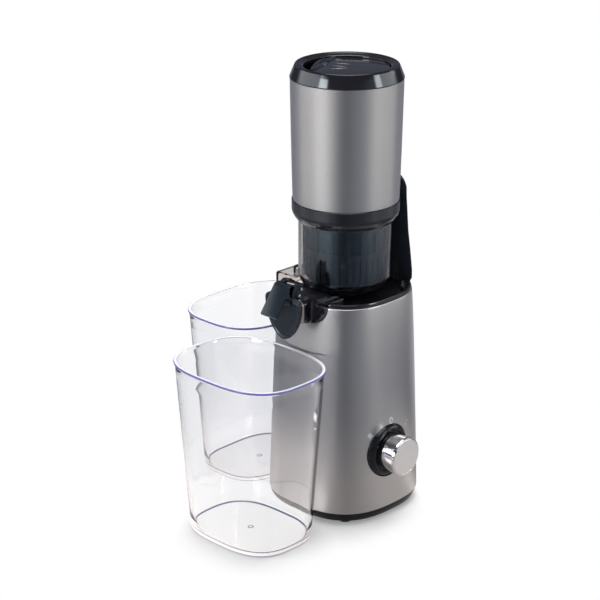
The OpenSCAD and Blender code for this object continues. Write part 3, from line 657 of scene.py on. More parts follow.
class EdgeTint(Effect):
    """Colour that gathers at the foot and the rim of a clear moulding."""

    name = "edge_tint"
    inputs = (
        ("Clear", "colour", (1, 1, 1, 1)), ("Tint", "colour", (0.3, 0.3, 0.7, 1)),
        ("Foot", "value", 0.003), ("Rim", "value", 0.17), ("Band", "value", 0.001),
    )
    outputs = (("Colour", "colour"),)

    @classmethod
    def wire(cls, w: Wiring, given: Outputs, result: Inputs) -> None:
        """Mixes the tint in below the foot line and above the rim line.

        Args:
            w: wiring of the group's tree.
            given: what the group is given.
            result: what it puts out.
        """
        z = w.add("ShaderNodeSeparateXYZ", {0: w.here()}).outputs[2]
        over = w.math("DIVIDE", w.math("SUBTRACT", z, given["Rim"]), given["Band"], clamp=True)
        under = w.math("DIVIDE", w.math("SUBTRACT", given["Foot"], z), given["Band"], clamp=True)
        w.feed(result["Colour"], w.blend(w.math("MAXIMUM", over, under), given["Clear"], given["Tint"]))


# ---------------------------------------------------------------- finishes


@dataclass(frozen=True)
class Finish:
    """Plain moulded, cast or turned surface; other finishes build on it."""

    name: str
    colour: Colour
    roughness: float = 0.3
    metallic: float = 0.0
    specular: float = 0.5
    sheen_hue: Colour = (1.0, 1.0, 1.0)
    flake: float = 0.08
    grain: float = 400.0
    bump: float = 0.02
    bump_reach: float = 0.00005
    smudge: float = 0.05
    slot: str = ""
    _made: ClassVar[dict[str, bpy.types.Material]] = {}

    def material(self) -> bpy.types.Material:
        """The finish's material, made at the first call.

        Returns:
            The material.
        """
        if self.name in self._made:
            return self._made[self.name]
        made = self._made[self.name] = bpy.data.materials.new(f"finish_{self.name}")
        made.diffuse_color = (*self.colour, 1)
        w = Wiring.fresh(made)
        shader = w.add("ShaderNodeBsdfPrincipled", {
            "Base Color": (*self.colour, 1), "Metallic": self.metallic, "Roughness": self.roughness,
            "Specular IOR Level": self.specular, "Specular Tint": (*self.sheen_hue, 1),
        })
        w.close(shader)
        self.dress(w, shader)
        return made

    def colour_input(self, w: Wiring) -> Socket:
        """Base colour with its flake or the faint tone changes of a real surface."""
        grain = FlakeGrain.place(w, colour=(*self.colour, 1), scale=self.grain, amount=self.flake)
        return grain.outputs["Colour"]

    def height_input(self, w: Wiring) -> Socket:
        """Height of the surface's fine texture."""
        return MouldedSkin.place(w, scale=self.grain, waviness=0.4).outputs["Height"]

    def dress(self, w: Wiring, shader: Node) -> None:
        """Joins colour, roughness and bump to the shader.

        Args:
            w: wiring of the material.
            shader: its shader.
        """
        marks = HandlingMarks.place(w, roughness=self.roughness, amount=self.smudge, scale=35.0)
        bump = w.add("ShaderNodeBump", {
            "Height": self.height_input(w), "Strength": self.bump, "Distance": self.bump_reach})
        w.feed(shader.inputs["Base Color"], self.colour_input(w))
        w.feed(shader.inputs["Roughness"], marks.outputs["Roughness"])
        w.feed(shader.inputs["Normal"], bump.outputs[0])


@dataclass(frozen=True)
class TurnedMetal(Finish):
    """Metal with turning marks about an axis."""

    centre: Point3 = (0, 0, 0)
    mask_axis: Point3 = (1, 1, 0)

    def height_input(self, w: Wiring) -> Socket:
        """Height of the turning marks."""
        rings = TurnedRings.place(w, centre=tuple(c * MM for c in self.centre), mask_axis=self.mask_axis)
        return rings.outputs["Height"]


@dataclass(frozen=True)
class ClearMoulding(Finish):
    """Clear or smoky moulding whose edges hold more colour."""

    tint: Colour = (0.3, 0.3, 0.7)
    foot: float = -1.0
    rim: float = 10000.0
    band: float = 1.0
    ior: float = 1.49

    def colour_input(self, w: Wiring) -> Socket:
        """Colour that deepens at the foot and the rim."""
        node = EdgeTint.place(w, clear=(*self.colour, 1), tint=(*self.tint, 1), foot=self.foot * MM,
                              rim=self.rim * MM, band=self.band * MM)
        return node.outputs["Colour"]

    def dress(self, w: Wiring, shader: Node) -> None:
        """Adds plain transmission to the shared inputs.

        Args:
            w: wiring of the material.
            shader: its shader.
        """
        super().dress(w, shader)
        shader.inputs["Transmission Weight"].default_value = 1.0
        shader.inputs["IOR"].default_value = self.ior


class Palette:
    """The finishes of the juicer's pieces."""

    BLUE_SHEEN = (0.8, 0.9, 1.0)
    NAVY_SHEEN = (0.6, 0.8, 1.0)
    BLACK = (0.0125, 0.012, 0.0155)
    LACQUER = Finish("sleeve_lacquer", (0.47, 0.465, 0.475), 0.3, 0.9, grain=1100.0, flake=0.28,
                     bump=0.05, smudge=0.02, slot="sleeve_metal")
    GLOSS = Finish("black_gloss", BLACK, 0.08, sheen_hue=BLUE_SHEEN, grain=300.0, bump=0.015,
                   slot="black_gloss")
    SATIN = Finish("black_satin", (0.014, 0.0142, 0.017), 0.36, sheen_hue=BLUE_SHEEN, grain=700.0,
                   bump=0.12, slot="black_satin")
    RUBBER = Finish("foot_rubber", (0.03, 0.03, 0.032), 0.7, grain=500.0, bump=0.25, slot="foot_rubber")
    SILICONE = Finish("seal_silicone", (0.06, 0.062, 0.068), 0.5, grain=500.0, bump=0.1, slot="seal_rubber")
    STEEL = TurnedMetal("turned_steel", (0.62, 0.62, 0.63), 0.25, 1.0, bump=0.2, slot="steel")
    CAST = Finish("die_cast", (0.55, 0.56, 0.58), 0.45, 1.0, grain=600.0, bump=0.3, slot="die_cast")
    BRONZE = Finish("sintered_bronze", (0.72, 0.54, 0.3), 0.4, 1.0, grain=900.0, bump=0.2, slot="bronze")
    ACETAL = Finish("acetal", (0.8, 0.78, 0.7), 0.35, slot="gear_plastic")
    SWITCH = Finish("switch_moulding", (0.7, 0.67, 0.58), 0.4, slot="switch_plastic")
    BOARD = Finish("circuit_board", (0.06, 0.22, 0.1), 0.35, slot="board")
    CHROME = Finish("knob_chrome", (0.82, 0.83, 0.85), 0.06, 1.0, grain=200.0, bump=0.01, slot="knob_chrome")
    SPUN = TurnedMetal("spun_face", (0.78, 0.79, 0.81), 0.28, 1.0, bump=0.35, bump_reach=0.00003,
                       centre=(0, -6, 70), mask_axis=(0, 1, 1), slot="knob_chrome")
    CAP = Finish("cap_gloss", (0.0105, 0.0155, 0.023), 0.2, specular=0.3, sheen_hue=BLUE_SHEEN, grain=350.0,
                 bump=0.03, slot="cap_plastic")
    BEZEL = Finish("bezel_gloss", (0.0105, 0.0105, 0.0125), 0.14, specular=0.22, sheen_hue=BLUE_SHEEN,
                   grain=350.0, bump=0.02, slot="black_gloss")
    MIRROR = Finish("flap_gloss", BLACK, 0.03, sheen_hue=BLUE_SHEEN, grain=200.0, bump=0.004,
                    smudge=0.0, slot="black_gloss")
    # Painted sheen: the rear column's black gloss is lightened to stand for reflections that its front face
    # does not find in the studio
    COLUMN_PAINTED_SHEEN = Finish("column_gloss", (0.02, 0.025, 0.034), 0.16, sheen_hue=BLUE_SHEEN, grain=350.0,
                    bump=0.02, slot="black_gloss")
    BASKET = Finish("basket_gloss", (0.02, 0.026, 0.036), 0.25, specular=0.35, sheen_hue=NAVY_SHEEN,
                    slot="basket_plastic")
    MESH = Finish("strainer_screen", (0.012, 0.02, 0.031), 0.45, 0.3, specular=0.35,
                  sheen_hue=NAVY_SHEEN, grain=1600.0, bump=0.5, slot="steel")
    # Painted shade and painted light: opaque black for the clear spout's walls, which only look dark against
    # the trough behind them, and opaque tan for its mouth band, which light shines through
    SPOUT_PAINTED_SHADE = Finish("spout_gloss", BLACK, 0.1, sheen_hue=BLUE_SHEEN, grain=300.0, bump=0.015,
                   slot="bowl_smoke")
    SPOUT_END_PAINTED_LIGHT = Finish("spout_end", (0.24, 0.21, 0.19), 0.2, grain=300.0, bump=0.01, slot="bowl_smoke")
    SMOKE = ClearMoulding("smoky_clear", (0.8, 0.76, 0.745), 0.04, sheen_hue=NAVY_SHEEN, bump=0.01,
                          smudge=0.02, slot="bowl_smoke", tint=(0.5, 0.48, 0.48), rim=299.0)
    CUP = ClearMoulding("cup_clear", (0.97, 0.972, 0.986), 0.015, bump=0.01, smudge=0.02, slot="cup_clear",
                        tint=(0.98, 0.975, 0.972), foot=40.0, band=50.0)
    # Cup edges: the glass's own violet tint deepened by painted shade for the dark lines at the wall's bends;
    # crest: a painted highlight on the top of the rim
    CUP_EDGE_TINT_AND_SHADE = Finish("cup_edge", (0.15, 0.155, 0.4), 0.12, grain=300.0, bump=0.01, slot="cup_clear")
    CUP_CREST_HIGHLIGHT = Finish("cup_crest", (0.66, 0.66, 0.74), 0.15, grain=300.0, bump=0.01, slot="cup_clear")
    MARK = Finish("switch_marks", (0.9, 0.91, 0.93), 0.45, slot="switch_plastic")


def fit_out(piece: Piece, finish: Finish, body: Body, *stands_for: str,
            sharp: float | None = Solid.SHARP) -> Piece:
    """Smooths a piece, gives it its finish and its body, and hides the CAD nodes that it stands for.

    Args:
        piece: the new piece.
        finish: its finish.
        body: the body that it moves with.
        stands_for: names of the CAD nodes that it replaces.
        sharp: edges sharper than this angle stay sharp; None leaves all faces flat.

    Returns:
        The piece.
    """
    if sharp is not None:
        Solid.smooth(piece, sharp)
    piece.data.materials.clear()
    piece.data.materials.append(finish.material())
    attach(piece, body.value)
    if stands_for:
        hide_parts(*stands_for)
    log.info("%s: %d faces, rides on %s", piece.name, len(piece.data.polygons), body.value)
    return piece


# ---------------------------------------------------------------- sub-assemblies


@dataclass
class Base:
    """Metal-look sleeve, the cover's rim and the marks round the knob."""

    # Turns about Z of the two notched sides, and the reach of a cutter through a wall
    SIDES: ClassVar[Point2] = (0, -90)
    CUT: ClassVar[Point2] = (40.0, 80.0)

    foot_half: float = 67.4
    top_half: float = 58.8
    deck_z: float = 219.0
    low: float = 12.0
    high: float = 219.3
    rim_top: float = 223.2
    column_half: float = 30.0
    wall: float = 2.4
    skin: float = 0.12
    skin_full: float = 200.0
    power: float = 2.65
    flank_curve: float = 0.78
    steps: int = 288
    knob_y: float = -6.0
    knob_z: float = 70.0
    knob_hole_r: float = 26.55
    cord_hole_r: float = 6.6
    cord_z: float = 30.0
    notch_half: float = 30.15
    notch_low: float = 201.85
    notch_corner: float = 17.0
    mark_width: float = 0.62

    def half(self, z: float) -> float:
        """Half width of the sleeve at height z."""
        share = max(0.0, self.deck_z - z) / self.deck_z
        return self.top_half + (self.foot_half - self.top_half) * share ** self.flank_curve

    def ring(self, z: float, grow: float) -> list[Point3]:
        """Outline of the base at height z, grown outwards."""
        h = self.half(z) + grow
        return [(x, y, z) for x, y in Outline.superellipse(h, h, self.power, self.steps)]

    def surface_x(self, y: float, z: float) -> float:
        """Where the sleeve's +X side is at a given y and z."""
        h = self.half(z)
        return h * (1 - (abs(y) / h) ** self.power) ** (1 / self.power)

    def sleeve(self) -> None:
        """Thin-walled sleeve with its notches and its knob and cord holes."""
        edge = [(0.0, -0.55), (0.18, -0.2), (0.55, 0.0), (1.4, 0.0)]
        levels = [self.low + (self.high - self.low) * i / 24 for i in range(1, 24)]
        rings = [self.ring(self.low + up, out) for up, out in edge]
        rings += [self.ring(z, self.skin * min(1.0, z / self.skin_full)) for z in levels]
        rings += [self.ring(self.high - up, out + self.skin) for up, out in reversed(edge)]
        rings += [self.ring(z, -self.wall) for z in (self.high, *reversed(levels[::3]), self.low)]
        piece = Solid.loft("sleeve", rings, loop=True)
        near, far = self.CUT
        notch = Outline.u_shape(self.notch_half, self.notch_low, self.high + 1, self.notch_corner)
        cutters = [Solid.turn(Solid.extrude("cut", notch, -far, -near, Axis.Y), turned)
                   for turned in self.SIDES]
        cutters.append(Solid.peg(self.knob_hole_r, near, far, 128, Axis.X, (0, self.knob_y, self.knob_z)))
        cutters.append(Solid.peg(self.cord_hole_r, near, far, 48, Axis.Y, (0, 0, self.cord_z)))
        Solid.combine(piece, cutters)
        fit_out(piece, Palette.LACQUER, Body.BASE, "housing")

    def rim(self) -> None:
        """Glossy rim of the top cover that stands above the sleeve's edge."""
        low, top = self.high - 0.9, self.rim_top
        profile = [(low, -0.55), (self.high - 0.2, -0.35), (self.high + 0.3, -0.3), (top - 1.2, -0.5),
                   (top - 0.4, -0.9), (top, -1.7), (top - 0.2, -2.6), (self.deck_z + 0.2, -6.5), (low, -6.5)]
        piece = Solid.loft("cover_rim", [self.ring(z, grow) for z, grow in profile], loop=True)
        near, far = self.CUT
        notch, column = self.notch_half, self.column_half
        cutters = [Solid.turn(Solid.block((-notch, -far, low - 1), (notch, -near, top + 1)), turned)
                   for turned in self.SIDES]
        cutters.append(Solid.block((-column, near, low - 1), (column, far, top + 1)))
        Solid.combine(piece, cutters)
        fit_out(piece, Palette.GLOSS, Body.BASE)

    def stroke(self, points: Sequence[Point2], width: float, closed: bool = False) -> list[list[Point3]]:
        """Rows of a flat line that lies on the sleeve.

        Args:
            points: the line's (y, z) points.
            width: width of the line.
            closed: joins the end to the start.

        Returns:
            Left edge, right edge and their lifted copies.
        """
        rows: list[list[Point3]] = [[], [], [], []]
        count = len(points)
        for i, p in enumerate(points):
            before = points[i - 1] if closed or i else p
            after = points[(i + 1) % count] if closed or i < count - 1 else p
            along = Vector((after[0] - before[0], after[1] - before[1])).normalized()
            side = Vector((-along.y, along.x)) * width / 2
            for row, (sign, lift) in zip(rows, ((-1, -0.1), (1, -0.1), (1, 0.08), (-1, 0.08))):
                y, z = p[0] + sign * side.x, p[1] + sign * side.y
                row.append((self.surface_x(y, z) + lift, y, z))
        return rows

    def marks(self) -> None:
        """Switch marks for reverse, off and on beside the knob."""
        def placed(points: Iterable[Point2], y: float, z: float, turn: float, size: float) -> list[Point2]:
            """Points of a mark, turned, scaled and moved to its place."""
            c, s = math.cos(math.radians(turn)), math.sin(math.radians(turn))
            return [(y + size * (u * c - v * s), z + size * (u * s + v * c)) for u, v in points]
        letter_r = [
            [(-0.42, -0.7), (-0.42, 0.7)],
            [(-0.42, 0.7), (0.1, 0.7), *Outline.arc(0.1, 0.36, 0.34, 90, -90, 8), (-0.42, 0.02)],
            [(0.0, 0.02), (0.46, -0.7)],
        ]
        ring = [(0.62 * u, v) for u, v in Outline.arc(0, 0, 1.0, 0, 345, 23)]
        lines = [(placed(line, -28.6, 90.8, 42, 3.5), False) for line in letter_r]
        lines += [(placed(ring, -2.4, 99.8, -6, 3.1), True)]
        lines += [(placed([(0, -1.0), (0, 1.0)], 20.6, 90.2, -38, 3.2), False)]
        bm = bmesh.new()
        for line, closed in lines:
            rows = self.stroke(line, self.mark_width, closed)
            count = len(rows[0])
            verts = [[bm.verts.new(p) for p in row] for row in rows]
            for i in range(count if closed else count - 1):
                j = (i + 1) % count
                for k in range(4):
                    n = (k + 1) % 4
                    bm.faces.new((verts[k][i], verts[k][j], verts[n][j], verts[n][i]))
            if not closed:
                for i in (0, count - 1):
                    bm.faces.new([verts[k][i] for k in range(4)])
        piece = Solid.from_bmesh("switch_marks", bm)
        fit_out(piece, Palette.MARK, Body.BASE, sharp=None)

    def build(self) -> None:
        """Makes all pieces of the base."""
        self.sleeve()
        self.rim()
        self.marks()


@dataclass
class ControlKnob:
    """Black bezel, chrome knob with a spun face, and its notch as a dark inlay of painted shade."""

    y: float = -6.0
    z: float = 70.0
    radius: float = 19.2
    low: float = 66.6
    face: float = 87.5
    bezel_r: float = 26.4
    pointer_angle: float = 56.0
    pointer_half: Point2 = (1.1, 1.6)
    pointer_in: float = 1.2
    pointer_depth: float = 2.4
    steps: int = 160

    def turned(self, name: str, profile: Sequence[Point2], finish: Finish, body: Body,
               *stands_for: str) -> None:
        """Makes a piece that is turned about the knob's axis."""
        piece = Solid.revolve(name, profile, self.steps, Axis.X, (0, self.y, self.z))
        fit_out(piece, finish, body, *stands_for)

    def bezel(self) -> None:
        """Ring with a raised bead and a sloping inner face."""
        r = self.bezel_r
        corners = [(3.3, 51.6), (r - 1.4, 51.6), (r - 1.4, 55), (r, 55), (r, 63.4), (r - 1.6, 66.2),
                   (r - 3.6, 67.6), (r - 5.4, 67.4), (r - 6.6, 66), (3.3, 66)]
        radii = [0, 0, 0, 0, 1.4, 1.6, 1.4, 0.8, 0.5, 0]
        self.turned("bezel", Outline.rounded(corners, radii), Palette.BEZEL, Body.BASE, "knob_bezel")

    def knob(self) -> None:
        """Chrome flank and a separate spun face let into it."""
        r, low, top = self.radius, self.low, self.face
        corners = [(3.02, low + 3), (14, low + 3), (15, low), (r - 1.6, low), (r - 1, low + 1), (r, top - 2),
                   (r - 0.45, top - 0.35), (r - 1.5, top - 0.15), (r - 1.7, top - 0.6), (3.02, top - 0.6)]
        radii = [0, 0, 0, 0.3, 0.5, 0.8, 0.4, 0.15, 0, 0]
        self.turned("knob_flank", Outline.rounded(corners, radii), Palette.CHROME, Body.KNOB, "knob")
        dish = [(r - 1.72, top - 0.62), (r - 1.72, top - 0.12), (r - 1.9, top)]
        dish += [(r * k / 10, top - 0.25 * (1 - (k / 8.9) ** 2)) for k in range(8, 0, -1)]
        self.turned("knob_face", [(0, top - 0.62), *dish, (0, top - 0.25)], Palette.SPUN, Body.KNOB)

    def pointer(self) -> None:
        """Dark inlay at the edge of the knob's face: painted shade that stands for the shadow in the notch.
        """
        w, h = self.pointer_half
        notch = Outline.rounded([(-w, -h), (w, -h), (w, h), (-w, h)], 0.4)
        inlay = Solid.extrude("pointer", notch, self.face - self.pointer_depth, self.face + 0.02, Axis.X)
        Solid.shift(inlay, 0, 0, self.radius - self.pointer_in)
        Solid.turn(inlay, self.pointer_angle, Axis.X)
        Solid.shift(inlay, 0, self.y, self.z)
        # Painted shade: the satin black inlay stands for the shadow inside the notch
        fit_out(Solid.soften(inlay, 0.15, 2), Palette.SATIN, Body.KNOB)

    def build(self) -> None:
        """Makes all pieces of the control."""
        self.bezel()
        self.knob()
        self.pointer()


@dataclass
class Bowl:
    """Smoky juicing bowl with its spout, pulp outlet and hinge bracket."""

    radius: float = 45.0
    wall: float = 2.2
    bend: float = 16.0
    floor: float = 220.5
    floor_t: float = 2.5
    rim: float = 301.5
    spout_half: float = 15.0
    spout_reach: float = 80.0
    spout_low: float = 203.5
    spout_high: float = 225.5
    spout_t: float = 2.0
    spout_corner: float = 5.0
    pulp_half: float = 18.0
    pulp_reach: float = 76.0
    pulp_low: float = 203.5
    pulp_high: float = 221.5
    root_reach: float = 52.0
    root_high: float = 234.0
    axis_y: float = -70.7
    axis_z: float = 237.8
    clear_from: float = -71.5
    hub_r: float = 12.0
    pin_r: float = 1.52
    bracket_r: float = 3.6
    bracket_half: float = 6.6
    # Windows behind the spout and the pulp outlet (x and y of two corners), and their reach
    # below and above the floor
    juice_window: tuple[Point2, Point2] = ((-11, -38), (11, -27))
    pulp_window: tuple[Point2, Point2] = ((-36, -12), (-25, 12))
    window_z: Point2 = (-6, 10)
    # Length of the pulp outlet's open underside
    pulp_mouth: float = 10.0
    steps: int = 216

    def shell(self, shrink: float, low: float, high: float, name: str) -> Piece:
        """Closed solid of the bowl's inside or outside.

        Args:
            shrink: how far it is drawn in.
            low: level of its floor.
            high: level of its top.
            name: name of the new object.

        Returns:
            The solid.
        """
        r, bend = self.radius - shrink, self.bend - shrink
        arc = Outline.arc(r - bend, low + bend, bend, -90, 0, 20)
        return Solid.revolve(name, [(0, low), *arc, (r, high), (0, high)], self.steps)

    def spout(self, grow: float, y0: float, y1: float) -> Piece:
        """Solid of the juice spout or of its bore.

        Args:
            grow: how far it is grown outwards.
            y0: y of its mouth.
            y1: y of its inner end.

        Returns:
            The solid.
        """
        half, low, high = self.spout_half + grow, self.spout_low - grow, self.spout_high + grow
        corners = [(-half, low), (half, low), (half, high), (-half, high)]
        outline = Outline.rounded(corners, self.spout_corner + grow, 8)
        return Solid.loft("spout", [[(x, y, z) for x, z in outline] for y in (y0, self.clear_from, y1)])

    def outlet(self, shrink: float) -> Piece:
        """Solid of the pulp outlet or of its inside, drawn from the side.

        Args:
            shrink: how far it is drawn in.

        Returns:
            The solid.
        """
        d = shrink
        side = [
            (-24, self.pulp_low + d), (-self.pulp_reach + d, self.pulp_low + d),
            (-self.pulp_reach + d, self.pulp_high - d), (-self.root_reach + d, self.pulp_high - d),
            (-self.root_reach + d, self.root_high - d), (-30, self.root_high - d), (-30, self.pulp_high - 8),
            (-24, self.pulp_high - 8),
        ]
        outline = Outline.rounded(side, [0, 2, 3, 1, 4, 0, 0, 0])
        return Solid.extrude("outlet", outline, -self.pulp_half + d, self.pulp_half - d, Axis.Y)

    def bracket(self) -> Piece:
        """Bracket of the cap's hinge on top of the spout.

        Returns:
            The solid.
        """
        y, z, r, half = self.axis_y, self.axis_z, self.bracket_r, self.bracket_half
        foot = self.spout_high - 1
        outline = [(y - r, foot), (y + r, foot), *Outline.arc(y, z, r, 0, 180, 14)]
        return Solid.soften(Solid.extrude("bracket", outline, -half, half, Axis.X), 0.7)

    def build(self) -> None:
        """Makes the bowl in one moulding."""
        piece = self.shell(0, self.floor, self.rim, "bowl_moulding")
        added = [self.spout(0, -self.spout_reach, -24), self.outlet(0), self.bracket()]
        Solid.combine(piece, added, Joining.FUSE)
        low, high = (self.floor + z for z in self.window_z)
        juice, pulp = (Solid.block((*a, low), (*b, high)) for a, b in (self.juice_window, self.pulp_window))
        t, end, side = self.spout_t, self.spout_t - self.pulp_reach, self.pulp_half - self.spout_t
        Solid.combine(piece, [
            self.shell(self.wall, self.floor + self.floor_t, self.rim + 1, "inside"),
            self.spout(-t, -self.spout_reach - 1, -26),
            juice,
            self.outlet(t),
            pulp,
            Solid.block((end, -side, self.pulp_low - 5), (end + self.pulp_mouth, side, self.pulp_low + 7)),
            Solid.peg(self.hub_r, 210, 230, 96),
            Solid.peg(self.pin_r, -20, 20, 32, Axis.X, (0, self.axis_y, self.axis_z)),
        ])
        fit_out(piece, Palette.SMOKE, Body.BOWL, "bowl", sharp=28)
        self.paint_spout_shade_and_light(piece)

    def paint_spout_shade_and_light(self, piece: Piece) -> None:
        """Paints the spout's walls opaque black as painted shade and its mouth band opaque tan as painted
        light.

        Args:
            piece: the bowl.
        """
        piece.data.materials.append(Palette.SPOUT_PAINTED_SHADE.material())
        piece.data.materials.append(Palette.SPOUT_END_PAINTED_LIGHT.material())
        # Painted shade on the spout's walls and painted light on its thin clear mouth band
        for face in piece.data.polygons:
            x, y, z = (c / MM for c in face.center)
            on_spout = y < -self.radius - 1.0 and abs(x) < self.spout_half + 1 and z < self.spout_high + 0.1
            if on_spout:
                face.material_index = 1 if y > self.clear_from else 2


@dataclass
class SpoutCap:
    """Glossy cap of the juice spout with its lever and hinge ears."""

    half: float = 23.4
    rise: float = 8.5
    drop: float = 36.0
    plate_y: float = -81.7
    plate_t: float = 3.2
    plate_z: float = 225.0
    axis_y: float = -70.7
    axis_z: float = 237.8
    lever_half: float = 10.0
    ear_half: float = 1.6
    pin_r: float = 1.55
    room_half: float = 6.8

    def outline(self, inset: float) -> list[Point2]:
        """Plate outline with wide shoulders and a long drop, drawn in by an inset.

        Args:
            inset: how far it is drawn in.

        Returns:
            The points, anticlockwise.
        """
        upper = Outline.superellipse(self.half - inset, self.rise - min(inset, 5.0), 2.8, 144)
        lower = Outline.superellipse(self.half - inset, self.drop - inset, 1.8, 144)
        return [u if u[1] >= 0 else v for u, v in zip(upper, lower)]

    def plate(self) -> Piece:
        """Plate with a raised, rounded rim and a dished face.

        Returns:
            The plate.
        """
        front = self.plate_y - self.plate_t
        rows = [(self.plate_y, 0.6), (self.plate_y - 0.25, 0.15), (self.plate_y - 0.7, 0), (front + 0.9, 0),
                (front + 0.3, 0.25), (front, 0.9), (front, 1.8), (front + 0.25, 2.5), (front + 0.75, 3.2),
                (front + 1.0, 5.0), (front + 1.2, 9.0), (front + 1.35, 15.0)]
        return Solid.loft("cap_plate", [
            [(x, y, self.plate_z + z) for x, z in self.outline(inset)] for y, inset in rows])

    def lever(self) -> Piece:
        """Bent strap from the hinge over the knee to its tip.

        Returns:
            The strap with room for the hinge.
        """
        tip, knee, front = (-104.0, 217.5), (-85.5, 243.0), self.plate_y - self.plate_t
        side = [
            (-79, 241.5), (-80, 243.4), knee, tip, (tip[0] + 1.4, tip[1] - 2.1), (tip[0] + 3.4, tip[1] - 0.9),
            (-86.4, 237.6), (front, 231), (front, 224), (self.plate_y, 224), (self.plate_y, 236),
        ]
        outline = Outline.rounded(side, [0.4, 2, 4.5, 1.2, 0.8, 1.2, 5, 2, 0, 0, 1], 6)
        strap = Solid.extrude("strap", outline, -self.lever_half, self.lever_half, Axis.X)
        half, y = self.room_half, self.plate_y
        room = Solid.block((-half, y + 0.4, 220), (half, y + 14, 250))
        return Solid.soften(Solid.combine(strap, [room]), 0.9)

    def ear(self, side: float) -> Piece:
        """Ear that carries the hinge pin.

        Args:
            side: -1 for the -X side, 1 for the +X side.

        Returns:
            The ear with its bore.
        """
        y, z = self.axis_y, self.axis_z
        outline = [*Outline.arc(y, z, 4.4, -82, 90, 14), (-80, 243.4), (-85.5, 243), (-86, 237),
                   (self.plate_y - 1, 226), (self.plate_y, 228)]
        middle, t = side * (self.lever_half - self.ear_half), self.ear_half
        piece = Solid.extrude("ear", Outline.rounded(outline, 0.6, 2), middle - t, middle + t, Axis.X)
        bore = Solid.peg(self.pin_r, -20, 20, 32, Axis.X, (0, y, z))
        return Solid.soften(Solid.combine(piece, [bore]), 0.5)

    def build(self) -> None:
        """Makes the cap as one piece."""
        whole = Solid.join("spout_cap", [self.plate(), self.lever(), self.ear(-1), self.ear(1)])
        fit_out(whole, Palette.CAP, Body.JUICE_CAP, "juice_cap")


@dataclass
class Hopper:
    """Collar, metal-look shell and the bevelled ring round the mouth."""

    foot_r: float = 50.5
    top_r: float = 53.0
    foot_z: float = 309.0
    ring_z: float = 425.3
    mouth_r: float = 40.5
    mouth_z: float = 438.4
    collar_r: float = 51.4
    collar_z: float = 289.5
    bowl_r: float = 45.0
    steps: int = 240

    def turned(self, name: str, profile: Sequence[Point2], finish: Finish, node: str) -> None:
        """Makes a piece that is turned about the drive axis and stands for a node."""
        fit_out(Solid.revolve(name, profile, self.steps), finish, Body.HOPPER, node)

    def collar(self) -> None:
        """Locking collar with its thin lower lip."""
        low, high, r, inner = self.collar_z, self.foot_z, self.collar_r, self.bowl_r + 0.5
        corners = [
            (inner, low), (46.6, low), (46.9, low + 0.7), (49.2, 293.2), (50.8, 296.4), (r, 299),
            (r, high - 0.4), (r - 0.4, high), (42.52, high), (42.52, 302), (inner, 302),
        ]
        radii = [0, 0.25, 0.2, 2, 2, 2, 0.3, 0.3, 0, 0, 0]
        self.turned("collar_ring", Outline.rounded(corners, radii), Palette.GLOSS, "collar")

    def shell(self) -> None:
        """Flared shell with slightly rounded ends."""
        low, high = self.foot_z + 0.02, self.ring_z - 0.02
        profile = [(self.foot_r - 0.3, low), (self.foot_r, low + 0.4)]
        for t in (0.012, *(i / 16 for i in range(1, 16)), 0.988):
            profile.append((self.foot_r + (self.top_r - self.foot_r) * t ** 0.85, low + (high - low) * t))
        profile += [(self.top_r, high - 0.4), (self.top_r - 0.3, high)]
        profile += [(self.top_r - 1.8, high), (self.foot_r + 0.6, 360), (self.foot_r - 1.8, low)]
        self.turned("hopper_sleeve", profile, Palette.LACQUER, "hopper_shell")

    def ring(self) -> None:
        """Bevelled ring with a bright edge at the top of the bevel and a round crest."""
        z, m, r = self.ring_z, self.mouth_r, self.top_r + 0.3
        corners = [
            (r, z), (r, z + 0.8), (50.3, 433.6), (48.9, 436.9), (48.1, 438.0),
            (47, self.mouth_z), (46, 438.1), (45.3, 437.2), (m + 2.02, 436.3), (m + 2.6, 434.2),
            (m + 6.1, 429.6), (m + 8.1, 426.4), (m + 8.1, z),
        ]
        radii = [0.2, 0.3, 0.3, 1.4, 1.2, 1.2, 0.8, 0.6, 0, 0, 0, 0, 0]
        self.turned("mouth_ring", Outline.rounded(corners, radii), Palette.GLOSS, "bevel_ring")

    def build(self) -> None:
        """Makes all pieces of the hopper's outside."""
        self.collar()
        self.shell()
        self.ring()


class CupPart(Enum):
    """Parts of a cup by finish; the values are its material numbers."""

    CLEAR = 0
    EDGE = 1
    CREST = 2


